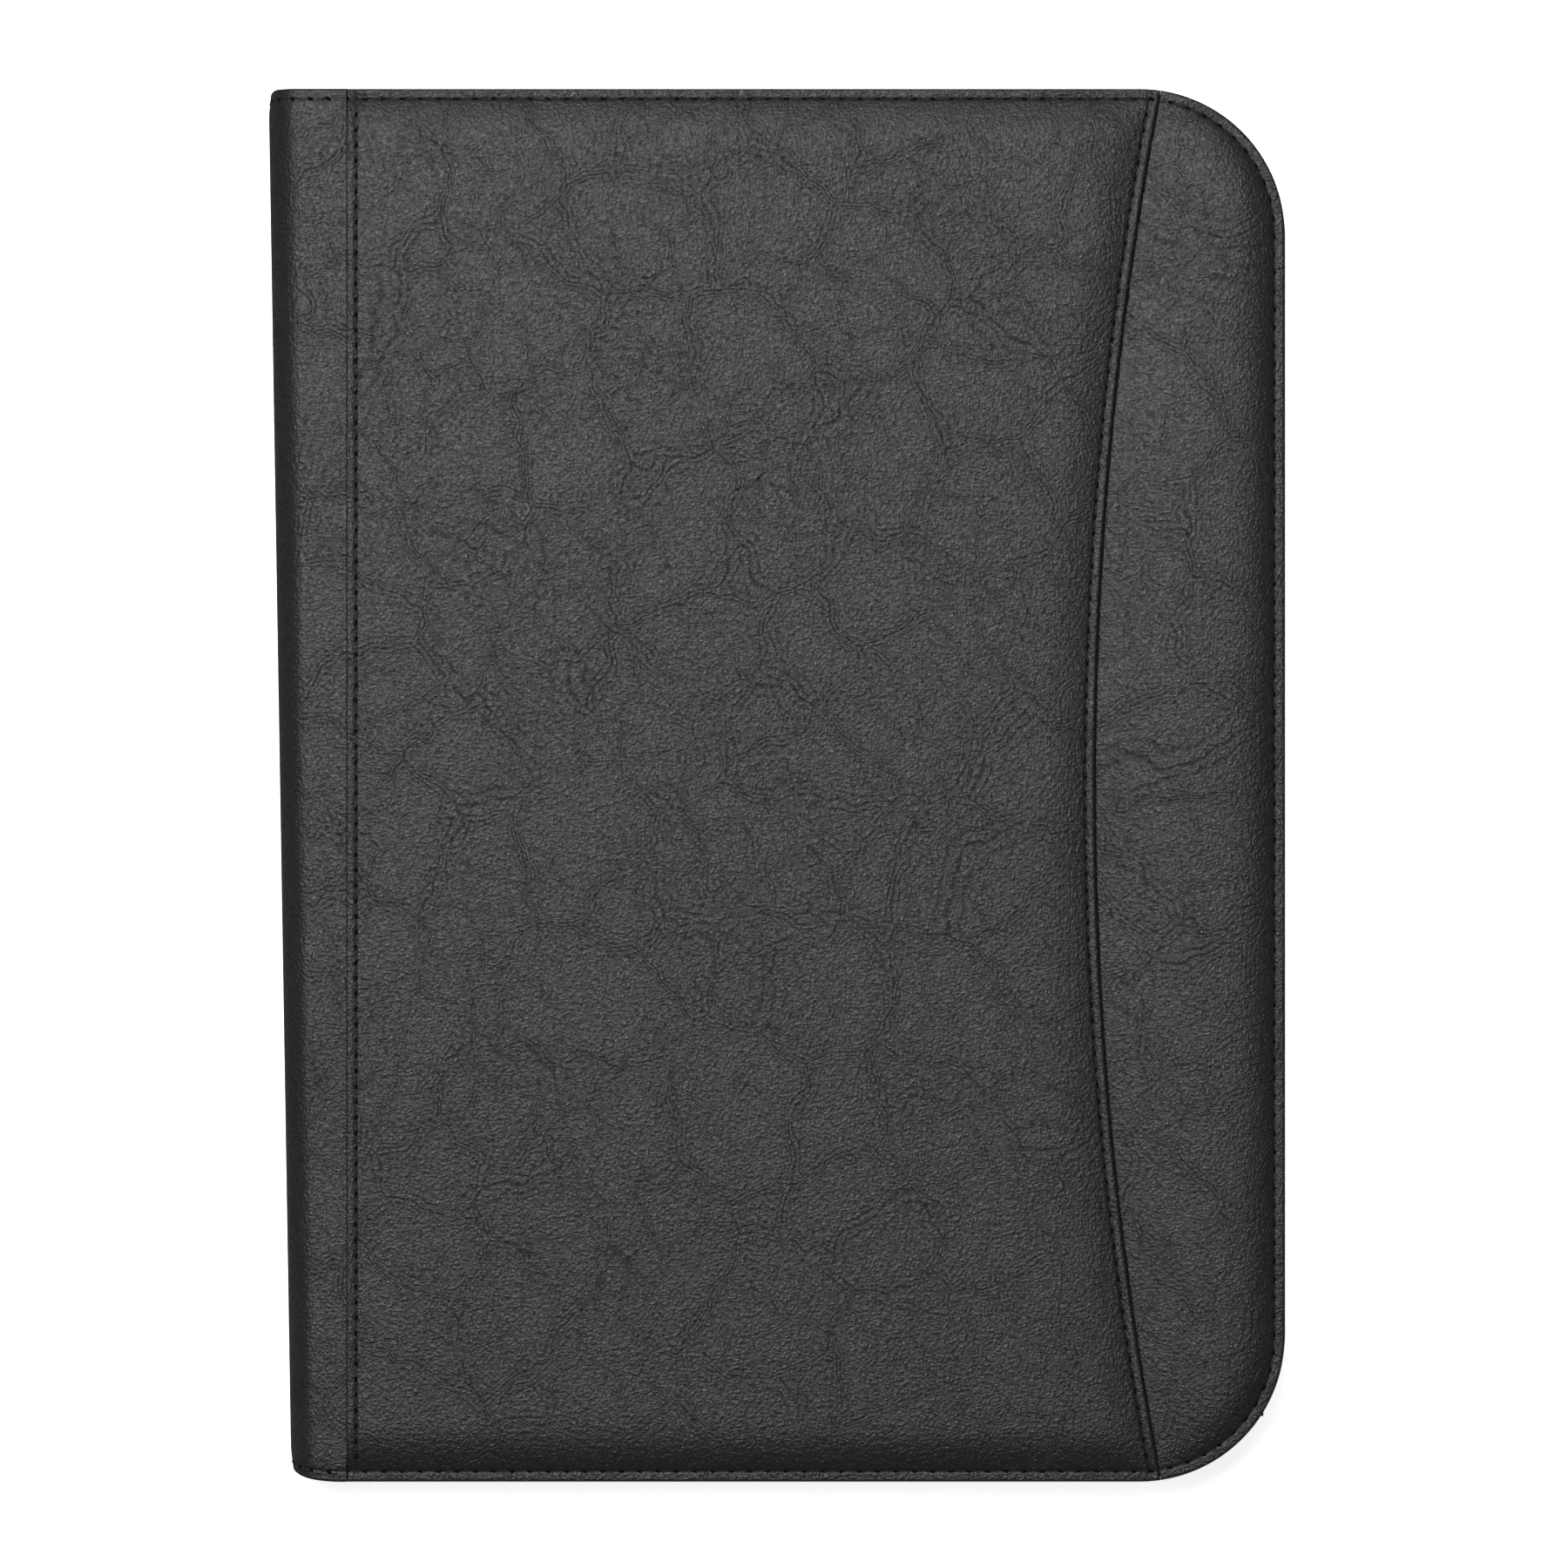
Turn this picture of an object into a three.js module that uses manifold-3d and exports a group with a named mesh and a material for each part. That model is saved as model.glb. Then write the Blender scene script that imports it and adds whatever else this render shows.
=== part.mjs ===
// Document portfolio, closed and lying on its back cover. Sizes are in millimetres.
// +X runs from the spine to the fore edge, +Y from foot to head, +Z out of the front cover.
import * as THREE from 'three';
import { mergeVertices } from 'three/addons/utils/BufferGeometryUtils.js';
import Module from 'manifold-3d';

const wasm = await Module();
wasm.setup();

// Outline of the covers
const coverHeight = 335;
const coverReach = 225.6; // spine seam to the front cover's fore edge
const backOverhang = 0.8; // how far the back cover shows past the front one
const cornerRadius = 35;
const turnedWidth = 4.2; // leather turned in round the edge of the board
const liningInset = 1.2;

// Spine strip, which reaches further out at the head than at the foot
const spineReachHead = 19.2;
const spineReachFoot = 13.7;
const spineBulgeHead = 7.7; // width of the round part, seen from the front
const spineBulgeFoot = 6.5;
const spineDrop = 1.4; // how far the spine strip lies below the crown of the cover
const headCornerSize = 2.5;
const footCornerWidth = 12.5;
const footCornerHeight = 3.5;
const spineEndWall = 5.5; // leather turned in at the ends of the spine

// Curved lap seam between the main panel and the end panel
const endPanelWidth = 45.7; // at mid height
const lapSeamSagitta = 15.7;
const lapWidth = 8;
const lapEndInset = 12; // the laps stop this far from the head and the foot

// Stitching channel and padding slope
const stitchInset = 2.5;
const stitchChannelDepth = 0.3;
const stitchChannelWidth = 0.4;
const edgeRounding = 1;
const padSlope = 11;
const lapDrop = 1.1; // how far the main panel dips at the curved seam
const spineSeamDrop = 0.1;
const endFoamTrim = 1.5; // the end panel's foam keeps clear of its narrow tips

// Sheet thicknesses
const leather = 1;
const foam = 2.4;
const board = 2;
const lining = 0.6;
const turnedRim = 2.6; // folded leather round the edge, without the lining
const spinePadding = 1.2;
const spineStiffener = 0.9;
const pocketSheet = 0.8;
const cardPocketSheet = 0.7;
const sleeveSheet = 0.8;
const gussetSheet = 0.5;

// Notepad, A4
const padWidth = 210;
const padHeight = 297;
const padInset = 7.1; // spine seam to the pad
const cardThickness = 0.8;
const paperThickness = 5.2;
const bindingSheet = 0.3;
const bindingFlap = 12;

// Notepad sleeve, which holds the lower part of the pad's backing card
const sleeveDepth = 140;
const sleeveHem = 3.7;

// Document pocket inside the front cover
const pocketInset = 3.6; // spine seam to the pocket
const pocketForeInset = 4.8; // fore edge to the pocket
const pocketFootInset = 21.5;
const pocketHeight = 210;
const pocketDepth = 4.5;
const pocketCorner = 8;
const gussetFold = 2;
const gussetFlat = 0.8; // a gusset's flat edge, where it is sewn down
const cardPocketWidth = 98;
const cardPocketHeight = 54;
const cardPocketMargin = 8;
const cardPocketCount = 2;

// Pen loop in the spine gutter
const penBore = 9.6;
const loopSheet = 0.7;
const loopLength = 22;
const loopFootY = 20;
const loopGap = 0.5; // between the loop and the notepad sleeve
const loopTab = 8.6;

// Fold lines of the spine strip, and the clearance that moving and curved pieces keep
const foldOverlap = 3.4; // fold line to the crown plane
const foldOut = 16.2; // spine seam to the fold line
const mitreAngle = THREE.MathUtils.degToRad(40);
const clearance = 0.3;
const overrun = 1; // how far a cut or a join runs past the face that it crosses
const lapPlay = 0.5; // room beside a lap's tongue
const tongueRoot = 2; // how far the end panel's tongue reaches back into the panel

// Levels, from the surface that the portfolio lies on
const coverThickness = lining + board + foam + leather;
const backInner = coverThickness;
const sleeveTop = backInner + cardThickness + clearance + sleeveSheet;
const paperFoot = sleeveTop + clearance;
const paperTop = paperFoot + paperThickness;
const frontInner = paperTop + bindingSheet + clearance + cardPocketSheet + pocketSheet + pocketDepth;
const closedHeight = frontInner + coverThickness;
const middle = closedHeight / 2;

// Levels within a cover, outwards from the lining's inner face
const boardFoot = lining;
const foamFoot = boardFoot + board;
const rimTop = lining + turnedRim;
const tongueTop = foamFoot + leather;

// Places across the portfolio
const halfHeight = coverHeight / 2;
const spineSeam = spineReachHead - (spineReachHead + coverReach + backOverhang) / 2;
const foreEdge = spineSeam + coverReach;
const lapHalfChord = halfHeight - stitchInset / 2;
const lapRadius = (lapHalfChord ** 2 + lapSeamSagitta ** 2) / (2 * lapSeamSagitta);
const lapCentre = foreEdge - endPanelWidth + lapRadius;
const padLeft = spineSeam + padInset;
const padRight = padLeft + padWidth;

// Sampling of curves
const weldTolerance = 1e-4;
const slopeStops = [0, 3, 6, 9, 12]; // from the end of an edge, where the padding slopes
const edgeSteps = 2;
const cornerSteps = 10;
const lapSteps = 12;
const spineSteps = 6;
const outerInsets = [0, 0.3, edgeRounding, stitchInset - stitchChannelWidth, stitchInset,
  stitchInset + stitchChannelWidth, 5, 7.5, 10.5, stitchInset + padSlope];
const innerSteps = [0, 0.8, 3.3, 6.3, stitchInset + padSlope - turnedWidth];

// Places along a length without its far end, closer together where the padding slopes at both ends
function stopsAlong(length, steps) {
  const last = slopeStops.at(-1);
  const between = Array.from({ length: steps - 1 }, (_, k) => last + ((length - 2 * last) * (k + 1)) / steps);
  return [...slopeStops, ...between, ...slopeStops.slice(1).reverse().map((stop) => length - stop)];
}

// Points along a straight edge from a to b without b
function alongEdge([ax, ay], [bx, by]) {
  const length = Math.hypot(bx - ax, by - ay);
  return stopsAlong(length, edgeSteps).map((stop) =>
    new THREE.Vector2(ax + ((bx - ax) * stop) / length, ay + ((by - ay) * stop) / length));
}

// Points along a circle about the curved seam's centre, from the height -y to y or back, without the last
function alongLap(radius, y, upwards) {
  const sign = upwards ? 1 : -1;
  return stopsAlong(2 * y, lapSteps).map((stop) => {
    const height = sign * (stop - y);
    return new THREE.Vector2(lapCentre - Math.sqrt(radius ** 2 - height ** 2), height);
  });
}

// Points along an arc without its last one
function alongArc(x, y, radius, from, to, steps) {
  return Array.from({ length: steps }, (_, k) => {
    const angle = from + ((to - from) * k) / steps;
    return new THREE.Vector2(x + radius * Math.cos(angle), y + radius * Math.sin(angle));
  });
}

// Outline of a whole cover, inset by d, from the line x = left to the fore edge
function coverRing(d, left, right) {
  const x = right - cornerRadius;
  const y = halfHeight - cornerRadius;
  const r = cornerRadius - d;
  return [
    ...alongEdge([left, d - halfHeight], [x, d - halfHeight]),
    ...alongArc(x, -y, r, -Math.PI / 2, 0, cornerSteps),
    ...alongEdge([right - d, -y], [right - d, y]),
    ...alongArc(x, y, r, 0, Math.PI / 2, cornerSteps),
    ...alongEdge([x, halfHeight - d], [left, halfHeight - d]),
    ...alongEdge([left, halfHeight - d], [left, d - halfHeight]),
  ];
}

// Outline of the main panel, inset by d at head and foot, and by its own insets at its two seams
function mainRing(d, spineInset = d, lapInset = d) {
  const r = lapRadius + lapInset;
  const y = halfHeight - d;
  const seamEnd = lapCentre - Math.sqrt(r ** 2 - y ** 2);
  const left = spineSeam + spineInset;
  return [
    ...alongEdge([left, -y], [seamEnd, -y]),
    ...alongLap(r, y, true),
    ...alongEdge([seamEnd, y], [left, y]),
    ...alongEdge([left, y], [left, -y]),
  ];
}

// Outline of the end panel, inset by d at the edge and by its own inset at the curved seam
function endRing(d, lapInset = d) {
  const x = foreEdge - cornerRadius;
  const y = halfHeight - cornerRadius;
  const r = cornerRadius - d;
  const lap = lapRadius - clearance - lapInset;
  // The curved seam crosses the corner's circle: solve the triangle of the two centres and the crossing
  const apart = Math.hypot(lapCentre - x, y);
  const lean = Math.atan2(y, lapCentre - x);
  const atCorner = Math.acos((apart ** 2 + r ** 2 - lap ** 2) / (2 * apart * r));
  const atLap = Math.acos((apart ** 2 + lap ** 2 - r ** 2) / (2 * apart * lap));
  const cornerAngle = atCorner - lean;
  const tipHeight = lap * Math.sin(atLap + lean);
  return [
    ...alongArc(x, -y, r, -cornerAngle, 0, cornerSteps),
    ...alongEdge([foreEdge - d, -y], [foreEdge - d, y]),
    ...alongArc(x, y, r, 0, cornerAngle, cornerSteps),
    ...alongLap(lap, tipHeight, false),
  ];
}

// Faces that close a ring: round a point in its middle, or across between its two long sides
function fanFaces(count, first, centre) {
  return Array.from({ length: count }, (_, k) => [centre, first + k, first + ((k + 1) % count)]);
}

function stripFaces(count, first) {
  const faces = [];
  for (let a = 0; a + 1 < count / 2; a++) {
    const b = count - 1 - a;
    faces.push([first + a, first + a + 1, first + b], [first + a + 1, first + b - 1, first + b]);
  }
  return faces;
}

const middleOf = (ring) =>
  ring.reduce((sum, p) => sum.add(p), new THREE.Vector3()).divideScalar(ring.length);

// A closed solid through rings of equally many points, its two ends closed by fans or by strips
function ringLoft(rings, closedBy) {
  const count = rings[0].length;
  const faces = [];
  for (let r = 0; r + 1 < rings.length; r++) {
    for (let k = 0; k < count; k++) {
      const a = r * count + k;
      const b = r * count + ((k + 1) % count);
      faces.push([a, b, b + count], [a, b + count, a + count]);
    }
  }
  const points = rings.flat();
  const lastRing = (rings.length - 1) * count;
  if (closedBy === 'fan') points.push(middleOf(rings[0]), middleOf(rings.at(-1)));
  const close = closedBy === 'fan' ? fanFaces : stripFaces;
  faces.push(...close(count, 0, rings.length * count).map((face) => face.reverse()));
  faces.push(...close(count, lastRing, rings.length * count + 1));
  const geometry = new THREE.BufferGeometry();
  const places = points.flatMap((p) => [p.x, p.y, p.z]);
  geometry.setAttribute('position', new THREE.Float32BufferAttribute(places, 3));
  geometry.setIndex(faces.flat());
  return facingOut(geometry);
}

// Turns the faces of a closed geometry outwards
function facingOut(geometry) {
  const index = geometry.index.array;
  const corners = [0, 1, 2].map(() => new THREE.Vector3());
  let volume = 0;
  for (let k = 0; k < index.length; k += 3) {
    corners.forEach((corner, n) => corner.fromBufferAttribute(geometry.attributes.position, index[k + n]));
    volume += corners[0].dot(corners[1].clone().cross(corners[2]));
  }
  if (volume < 0) {
    for (let k = 0; k < index.length; k += 3) {
      [index[k + 1], index[k + 2]] = [index[k + 2], index[k + 1]];
    }
  }
  return geometry;
}

// A slab between two levels over one outline
function slab(outline, low, high, closedBy = 'fan') {
  const atLevel = (z) => outline.map((p) => new THREE.Vector3(p.x, p.y, z));
  return ringLoft([atLevel(low), atLevel(high)], closedBy);
}

// A padded solid: flat at the level low, and rising over its rings to the level that levelAt gives
function paddedSolid(ringAt, insets, low, levelAt) {
  const rings = insets.map((d) => ringAt(d).map((p) => new THREE.Vector3(p.x, p.y, levelAt(p.x, p.y, d))));
  const foot = rings[0].map((p) => new THREE.Vector3(p.x, p.y, low));
  return ringLoft([foot, ...rings], 'fan');
}

// A prism along Y over a profile of [x, z] points
function prismAlongY(profile, foot, head) {
  const shape = new THREE.Shape(profile.map(([x, z]) => new THREE.Vector2(x, z)));
  const geometry = new THREE.ExtrudeGeometry(shape, { depth: head - foot, bevelEnabled: false });
  return geometry.rotateX(Math.PI / 2).translate(0, head, 0);
}

// A box between two corners
function block(low, high) {
  const size = high.map((value, k) => value - low[k]);
  return new THREE.BoxGeometry(...size).translate(...low.map((value, k) => value + size[k] / 2));
}

// Solids for cutting and joining, from closed geometries
function solid(geometry) {
  const bare = geometry.clone();
  bare.deleteAttribute('normal');
  bare.deleteAttribute('uv');
  const merged = mergeVertices(bare, weldTolerance);
  return new wasm.Manifold(new wasm.Mesh({
    numProp: 3,
    vertProperties: new Float32Array(merged.attributes.position.array),
    triVerts: new Uint32Array(merged.index.array),
  }));
}

function geometryOf(manifold) {
  const mesh = manifold.getMesh();
  const geometry = new THREE.BufferGeometry();
  geometry.setAttribute('position', new THREE.Float32BufferAttribute(mesh.vertProperties, 3));
  geometry.setIndex(Array.from(mesh.triVerts));
  return geometry;
}

const cut = (body, ...tools) => tools.reduce((left, tool) => left.subtract(solid(tool)), solid(body));

function finish(name, colour, roughness) {
  const material = new THREE.MeshStandardMaterial({ color: colour, roughness, metalness: 0 });
  material.name = name;
  return material;
}

// A named piece with its own material, in the group that carries it
function piece(group, name, shape, makeMaterial) {
  const geometry = shape instanceof wasm.Manifold ? geometryOf(shape) : shape;
  geometry.computeVertexNormals();
  const mesh = new THREE.Mesh(geometry, makeMaterial());
  mesh.name = name;
  group.add(mesh);
}

const grainedLeather = () => finish('grained_leather', 0x3c3c3d, 0.55);
const paddingFoam = () => finish('padding_foam', 0x9a9a96, 0.95);
const coverBoard = () => finish('cover_board', 0x8b7d68, 0.9);
const liningCloth = () => finish('lining_cloth', 0x262627, 0.85);
const elasticBand = () => finish('elastic_band', 0x1b1b1c, 0.8);
const paper = () => finish('paper', 0xf4f2ea, 0.9);
const padCard = () => finish('pad_card', 0xb59f7c, 0.9);
const bindingTape = () => finish('binding_tape', 0x2c2c30, 0.6);

// Level of a padded cover over its lining, where each edge or seam pulls the padding down
const slopeRise = (distance) => {
  const t = THREE.MathUtils.clamp((distance - stitchInset) / padSlope, 0, 1);
  return 1 - (1 - t) ** 2;
};

function crownLevel(pulls, inset) {
  const kept = pulls.reduce((part, [distance, drop]) =>
    part * (1 - (drop / (coverThickness - rimTop)) * (1 - slopeRise(distance))), 1);
  const rounding = inset < edgeRounding
    ? edgeRounding - Math.sqrt(edgeRounding ** 2 - (edgeRounding - inset) ** 2) : 0;
  const channel = inset === stitchInset ? stitchChannelDepth : 0;
  return rimTop + (coverThickness - rimTop) * kept - rounding - channel;
}

const fullDrop = coverThickness - rimTop;
const endSeamDrop = coverThickness - tongueTop;

function mainLevel(x, y, inset) {
  const toLap = Math.hypot(x - lapCentre, y) - lapRadius;
  const pulls = [[halfHeight - Math.abs(y), fullDrop], [toLap, lapDrop], [x - spineSeam, spineSeamDrop]];
  return crownLevel(pulls, inset);
}

// Distance from a point to the edge of a cover whose fore edge is at right
function toEdge(x, y, right) {
  const dx = x - (right - cornerRadius);
  const dy = Math.abs(y) - (halfHeight - cornerRadius);
  return dx > 0 && dy > 0 ? cornerRadius - Math.hypot(dx, dy) : Math.min(right - x, halfHeight - Math.abs(y));
}

function endLevel(x, y, inset) {
  const toLap = lapRadius - clearance - Math.hypot(x - lapCentre, y);
  return crownLevel([[toEdge(x, y, foreEdge), fullDrop], [toLap, endSeamDrop]], inset);
}

const backEdge = foreEdge + backOverhang;

function backLevel(x, y, inset) {
  return crownLevel([[toEdge(x, y, backEdge), fullDrop], [x - spineSeam, spineSeamDrop]], inset);
}

// A strip beside the curved seam, between two distances to its spine side
function lapStrip(near, far, endInset, low, high) {
  const y = halfHeight - endInset;
  const side = (r, sign) => [...alongLap(r, y, sign > 0),
    new THREE.Vector2(lapCentre - Math.sqrt(r ** 2 - y ** 2), sign * y)];
  return slab([...side(lapRadius + far, 1), ...side(lapRadius + near, -1)], low, high, 'strip');
}

// The open space under a panel's lap at the spine seam, where the hinge flange's tongue goes
const underSpineLap = () => block(
  [spineSeam - overrun, lapEndInset - halfHeight, -overrun],
  [spineSeam + turnedWidth + lapPlay, halfHeight - lapEndInset, coverThickness - spineDrop + clearance],
);
// The space of the cover board, which the panels lie over and are turned in round
const boardSpace = (right) => slab(coverRing(turnedWidth, spineSeam - overrun, right), -overrun, foamFoot);
const shellInsets = innerSteps.map((step) => turnedWidth + step);
const foamInsets = innerSteps.map((step) => turnedWidth + clearance + step);

// Level of the leather's inner face, and of the foam below it
const underside = (levelAt) => (x, y) => levelAt(x, y, padSlope) - leather;
const lowered = (levelAt) => (x, y) => underside(levelAt)(x, y) - clearance;

// Front cover, in the group whose level 0 is its lining's inner face
const frontCover = new THREE.Group();
frontCover.position.z = frontInner;

function frontMainPanel() {
  const outer = paddedSolid((d) => mainRing(d), outerInsets, lining, mainLevel);
  const cavity = paddedSolid((d) => mainRing(d), shellInsets, -overrun, underside(mainLevel));
  const underLap = lapStrip(-overrun, turnedWidth + lapPlay, lapEndInset, -overrun, tongueTop + clearance);
  return cut(outer, cavity, boardSpace(foreEdge), underLap, underSpineLap());
}

function frontEndPanel() {
  const outer = paddedSolid((d) => endRing(d), outerInsets, lining, endLevel);
  const cavity = paddedSolid((d) => endRing(d), shellInsets, -overrun, underside(endLevel));
  const tongue = lapStrip(-tongueRoot, lapWidth, lapEndInset + clearance, foamFoot, tongueTop);
  return cut(outer, cavity, boardSpace(foreEdge)).add(solid(tongue));
}

// Foam under a panel: it stops short of the end panel's tongue and gives way to the flange's tongue
const overSpineTongue = () => block(
  [spineSeam, -halfHeight, coverThickness - spineDrop - leather - clearance],
  [spineSeam + lapWidth + clearance, halfHeight, coverThickness + overrun],
);

function frontMainFoam() {
  const past = lapWidth + clearance - turnedWidth;
  return cut(paddedSolid((d) => mainRing(d, d, d + past), foamInsets, foamFoot, lowered(mainLevel)),
    overSpineTongue());
}

const boardOutline = (right) => coverRing(turnedWidth + clearance, spineSeam + 2 * clearance, right);
const liningOutline = (right) => coverRing(liningInset, spineSeam + clearance / 2, right);

piece(frontCover, 'front_main_panel', frontMainPanel(), grainedLeather);
piece(frontCover, 'front_end_panel', frontEndPanel(), grainedLeather);
piece(frontCover, 'front_main_foam', frontMainFoam(), paddingFoam);
piece(frontCover, 'front_end_foam',
  paddedSolid((d) => endRing(d + endFoamTrim), foamInsets, foamFoot, lowered(endLevel)), paddingFoam);
piece(frontCover, 'front_board', slab(boardOutline(foreEdge), boardFoot, foamFoot), coverBoard);
piece(frontCover, 'front_lining', slab(liningOutline(foreEdge), 0, lining), liningCloth);

// Document pocket: a panel held off the lining by gussets that fold inwards
const pocketLeft = spineSeam + pocketInset;
const pocketRight = foreEdge - pocketForeInset;
const pocketFoot = pocketFootInset - halfHeight;
const pocketMouth = pocketFoot + pocketHeight;

function pocketPanel() {
  const r = pocketCorner;
  const outline = [
    ...alongArc(pocketLeft + r, pocketFoot + r, r, Math.PI, 1.5 * Math.PI, cornerSteps / 2),
    ...alongArc(pocketRight - r, pocketFoot + r, r, 1.5 * Math.PI, 2 * Math.PI, cornerSteps / 2),
    new THREE.Vector2(pocketRight, pocketFoot + r),
    new THREE.Vector2(pocketRight, pocketMouth),
    new THREE.Vector2(pocketLeft, pocketMouth),
  ];
  return slab(outline, -pocketDepth - pocketSheet, -pocketDepth);
}

// Section of a gusset: from the lining in to its fold and back out to the pocket panel
const gussetSection = [
  [0, 0], [gussetFlat, 0], [gussetFold + gussetSheet, -pocketDepth / 2],
  [gussetFlat, -pocketDepth], [0, -pocketDepth], [gussetFold - gussetSheet, -pocketDepth / 2],
];
const sideGusset = (x, sign) =>
  prismAlongY(gussetSection.map(([u, z]) => [x + sign * u, z]), pocketFoot + pocketCorner, pocketMouth);

function footGusset() {
  const length = pocketRight - pocketLeft - 2 * pocketCorner;
  const along = gussetSection.map(([u, z]) => [u, z]);
  return prismAlongY(along, -length / 2, length / 2)
    .rotateZ(Math.PI / 2)
    .translate((pocketLeft + pocketRight) / 2, pocketFoot, 0);
}

piece(frontCover, 'document_pocket_panel', pocketPanel(), liningCloth);
piece(frontCover, 'pocket_gusset_spine_side', sideGusset(pocketLeft, 1), liningCloth);
piece(frontCover, 'pocket_gusset_fore_side', sideGusset(pocketRight, -1), liningCloth);
piece(frontCover, 'pocket_gusset_foot', footGusset(), liningCloth);

for (let k = 0; k < cardPocketCount; k++) {
  const high = pocketMouth - cardPocketMargin - k * (cardPocketHeight + cardPocketMargin);
  const left = pocketLeft + cardPocketMargin;
  const sheet = block([left, high - cardPocketHeight, -pocketDepth - pocketSheet - cardPocketSheet],
    [left + cardPocketWidth, high, -pocketDepth - pocketSheet]);
  piece(frontCover, `card_pocket_${k + 1}`, sheet, grainedLeather);
}

// Back cover, the same way up in its own group and turned over about X
const backCover = new THREE.Group();
backCover.position.z = backInner;
backCover.rotation.x = Math.PI;

function backPanel() {
  const ring = (d) => coverRing(d, spineSeam + d, backEdge);
  const outer = paddedSolid(ring, outerInsets, lining, backLevel);
  const cavity = paddedSolid(ring, shellInsets, -overrun, underside(backLevel));
  return cut(outer, cavity, boardSpace(backEdge), underSpineLap());
}

function backFoam() {
  const ring = (d) => coverRing(d, spineSeam + d, backEdge);
  return cut(paddedSolid(ring, foamInsets, foamFoot, lowered(backLevel)), overSpineTongue());
}

piece(backCover, 'back_panel', backPanel(), grainedLeather);
piece(backCover, 'back_foam', backFoam(), paddingFoam);
piece(backCover, 'back_board', slab(boardOutline(backEdge), boardFoot, foamFoot), coverBoard);
piece(backCover, 'back_lining', slab(liningOutline(backEdge), 0, lining), liningCloth);

// Spine strip: one section swept from foot to head, in layers, then cut at the two fold lines
const spine = new THREE.Group();
const spineTop = closedHeight - spineDrop;

// Half of a layer's outer curve at a height y, from its end under the cover to the outermost point
function spineQuarter(y, offset, end, side) {
  const t = (y + halfHeight) / coverHeight;
  const bulge = THREE.MathUtils.lerp(spineBulgeFoot, spineBulgeHead, t);
  const centre = spineSeam - THREE.MathUtils.lerp(spineReachFoot, spineReachHead, t) + bulge;
  const depth = spineTop - middle - offset;
  const points = [[end, middle + side * depth]];
  for (let k = 0; k <= spineSteps; k++) {
    const angle = (Math.PI / 2) * (k / spineSteps);
    points.push([centre - (bulge - offset) * Math.sin(angle), middle + side * depth * Math.cos(angle)]);
  }
  return points;
}

function spineSection(y, near, far, end) {
  const curve = (offset) => [
    ...spineQuarter(y, offset, end, 1), ...spineQuarter(y, offset, end, -1).reverse().slice(1)];
  return [...curve(near), ...curve(far).reverse()];
}

// Where the strip's end lies for a point x: the outline rounds over towards the outermost edge
function endDrop(x, outermost, width, height) {
  const u = THREE.MathUtils.clamp((outermost + width - x) / width, 0, 1);
  return height * (1 - Math.sqrt(1 - u * u));
}

function spineLayer(near, far, end, footInset, headInset) {
  const foot = footInset - halfHeight;
  const head = halfHeight - headInset;
  const ring = (y) => spineSection(y, near, far, end).map(([x, z]) => new THREE.Vector3(x, y, z));
  return ringLoft([ring(foot), ring(head)], 'strip');
}

// The outer form of the strip, with its rounded ends
function spineBody(near, far, end) {
  const ring = (y, drop) => spineSection(y, near, far, end)
    .map(([x, z]) => new THREE.Vector3(x, y + drop(x), z));
  const level = () => 0;
  const footEdge = spineSeam - spineReachFoot;
  const headEdge = spineSeam - spineReachHead;
  return ringLoft([
    ring(-halfHeight, (x) => endDrop(x, footEdge, footCornerWidth, footCornerHeight)),
    ring(spineEndWall - halfHeight, level),
    ring(halfHeight - spineEndWall, level),
    ring(halfHeight, (x) => -endDrop(x, headEdge, headCornerSize, headCornerSize)),
  ], 'strip');
}

// Regions that the two fold lines part: the front flange, the spine itself and the back flange
const foldLine = { x: spineSeam - foldOut, z: closedHeight - foldOverlap };

function region(which) {
  const far = coverHeight;
  const apart = (which === 'spine' ? -clearance : clearance) / 2;
  const along = [Math.cos(mitreAngle), -Math.sin(mitreAngle)];
  const start = [foldLine.x + apart * Math.sin(mitreAngle), foldLine.z + apart * Math.cos(mitreAngle)];
  const toMiddle = (start[1] - middle) / Math.sin(mitreAngle);
  const outer = [start[0] - along[0] * far, start[1] - along[1] * far];
  const inner = [start[0] + along[0] * toMiddle, middle];
  const flip = ([x, z]) => [x, 2 * middle - z];
  const flange = [inner, [far, middle], [far, far], [outer[0], outer[1] + far], outer];
  const profile = {
    spine: [inner, outer, flip(outer)],
    front: flange,
    back: flange.map(flip).reverse(),
  }[which];
  return solid(prismAlongY(profile, -coverHeight, coverHeight));
}

const regions = { front: region('front'), spine: region('spine'), back: region('back') };
const liningNear = coverThickness - spineDrop - lining;
const corePadding = leather + clearance;
const coreDepth = liningNear - clearance;
const flangeEnd = spineSeam - clearance;
const coreInset = spineEndWall + clearance;

function spineLeather(which) {
  const shell = cut(spineBody(0, coreDepth, flangeEnd),
    spineLayer(leather, coreDepth + overrun, spineSeam + overrun, spineEndWall, turnedWidth));
  const part = shell.intersect(regions[which]);
  if (which === 'spine') return part;
  const sheet = block(
    [flangeEnd - overrun, lapEndInset + clearance - halfHeight, spineTop - leather],
    [spineSeam + lapWidth, halfHeight - lapEndInset - clearance, spineTop],
  );
  if (which === 'back') sheet.translate(0, 0, leather + 2 * (middle - spineTop));
  return part.add(solid(sheet));
}

const layerPart = (which, near, far, end) =>
  solid(spineLayer(near, far, end, coreInset, turnedWidth + clearance)).intersect(regions[which]);
const liningPart = (which) =>
  solid(spineLayer(liningNear, liningNear + lining, flangeEnd + clearance / 2, spineEndWall, liningInset))
    .intersect(regions[which]);

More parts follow.
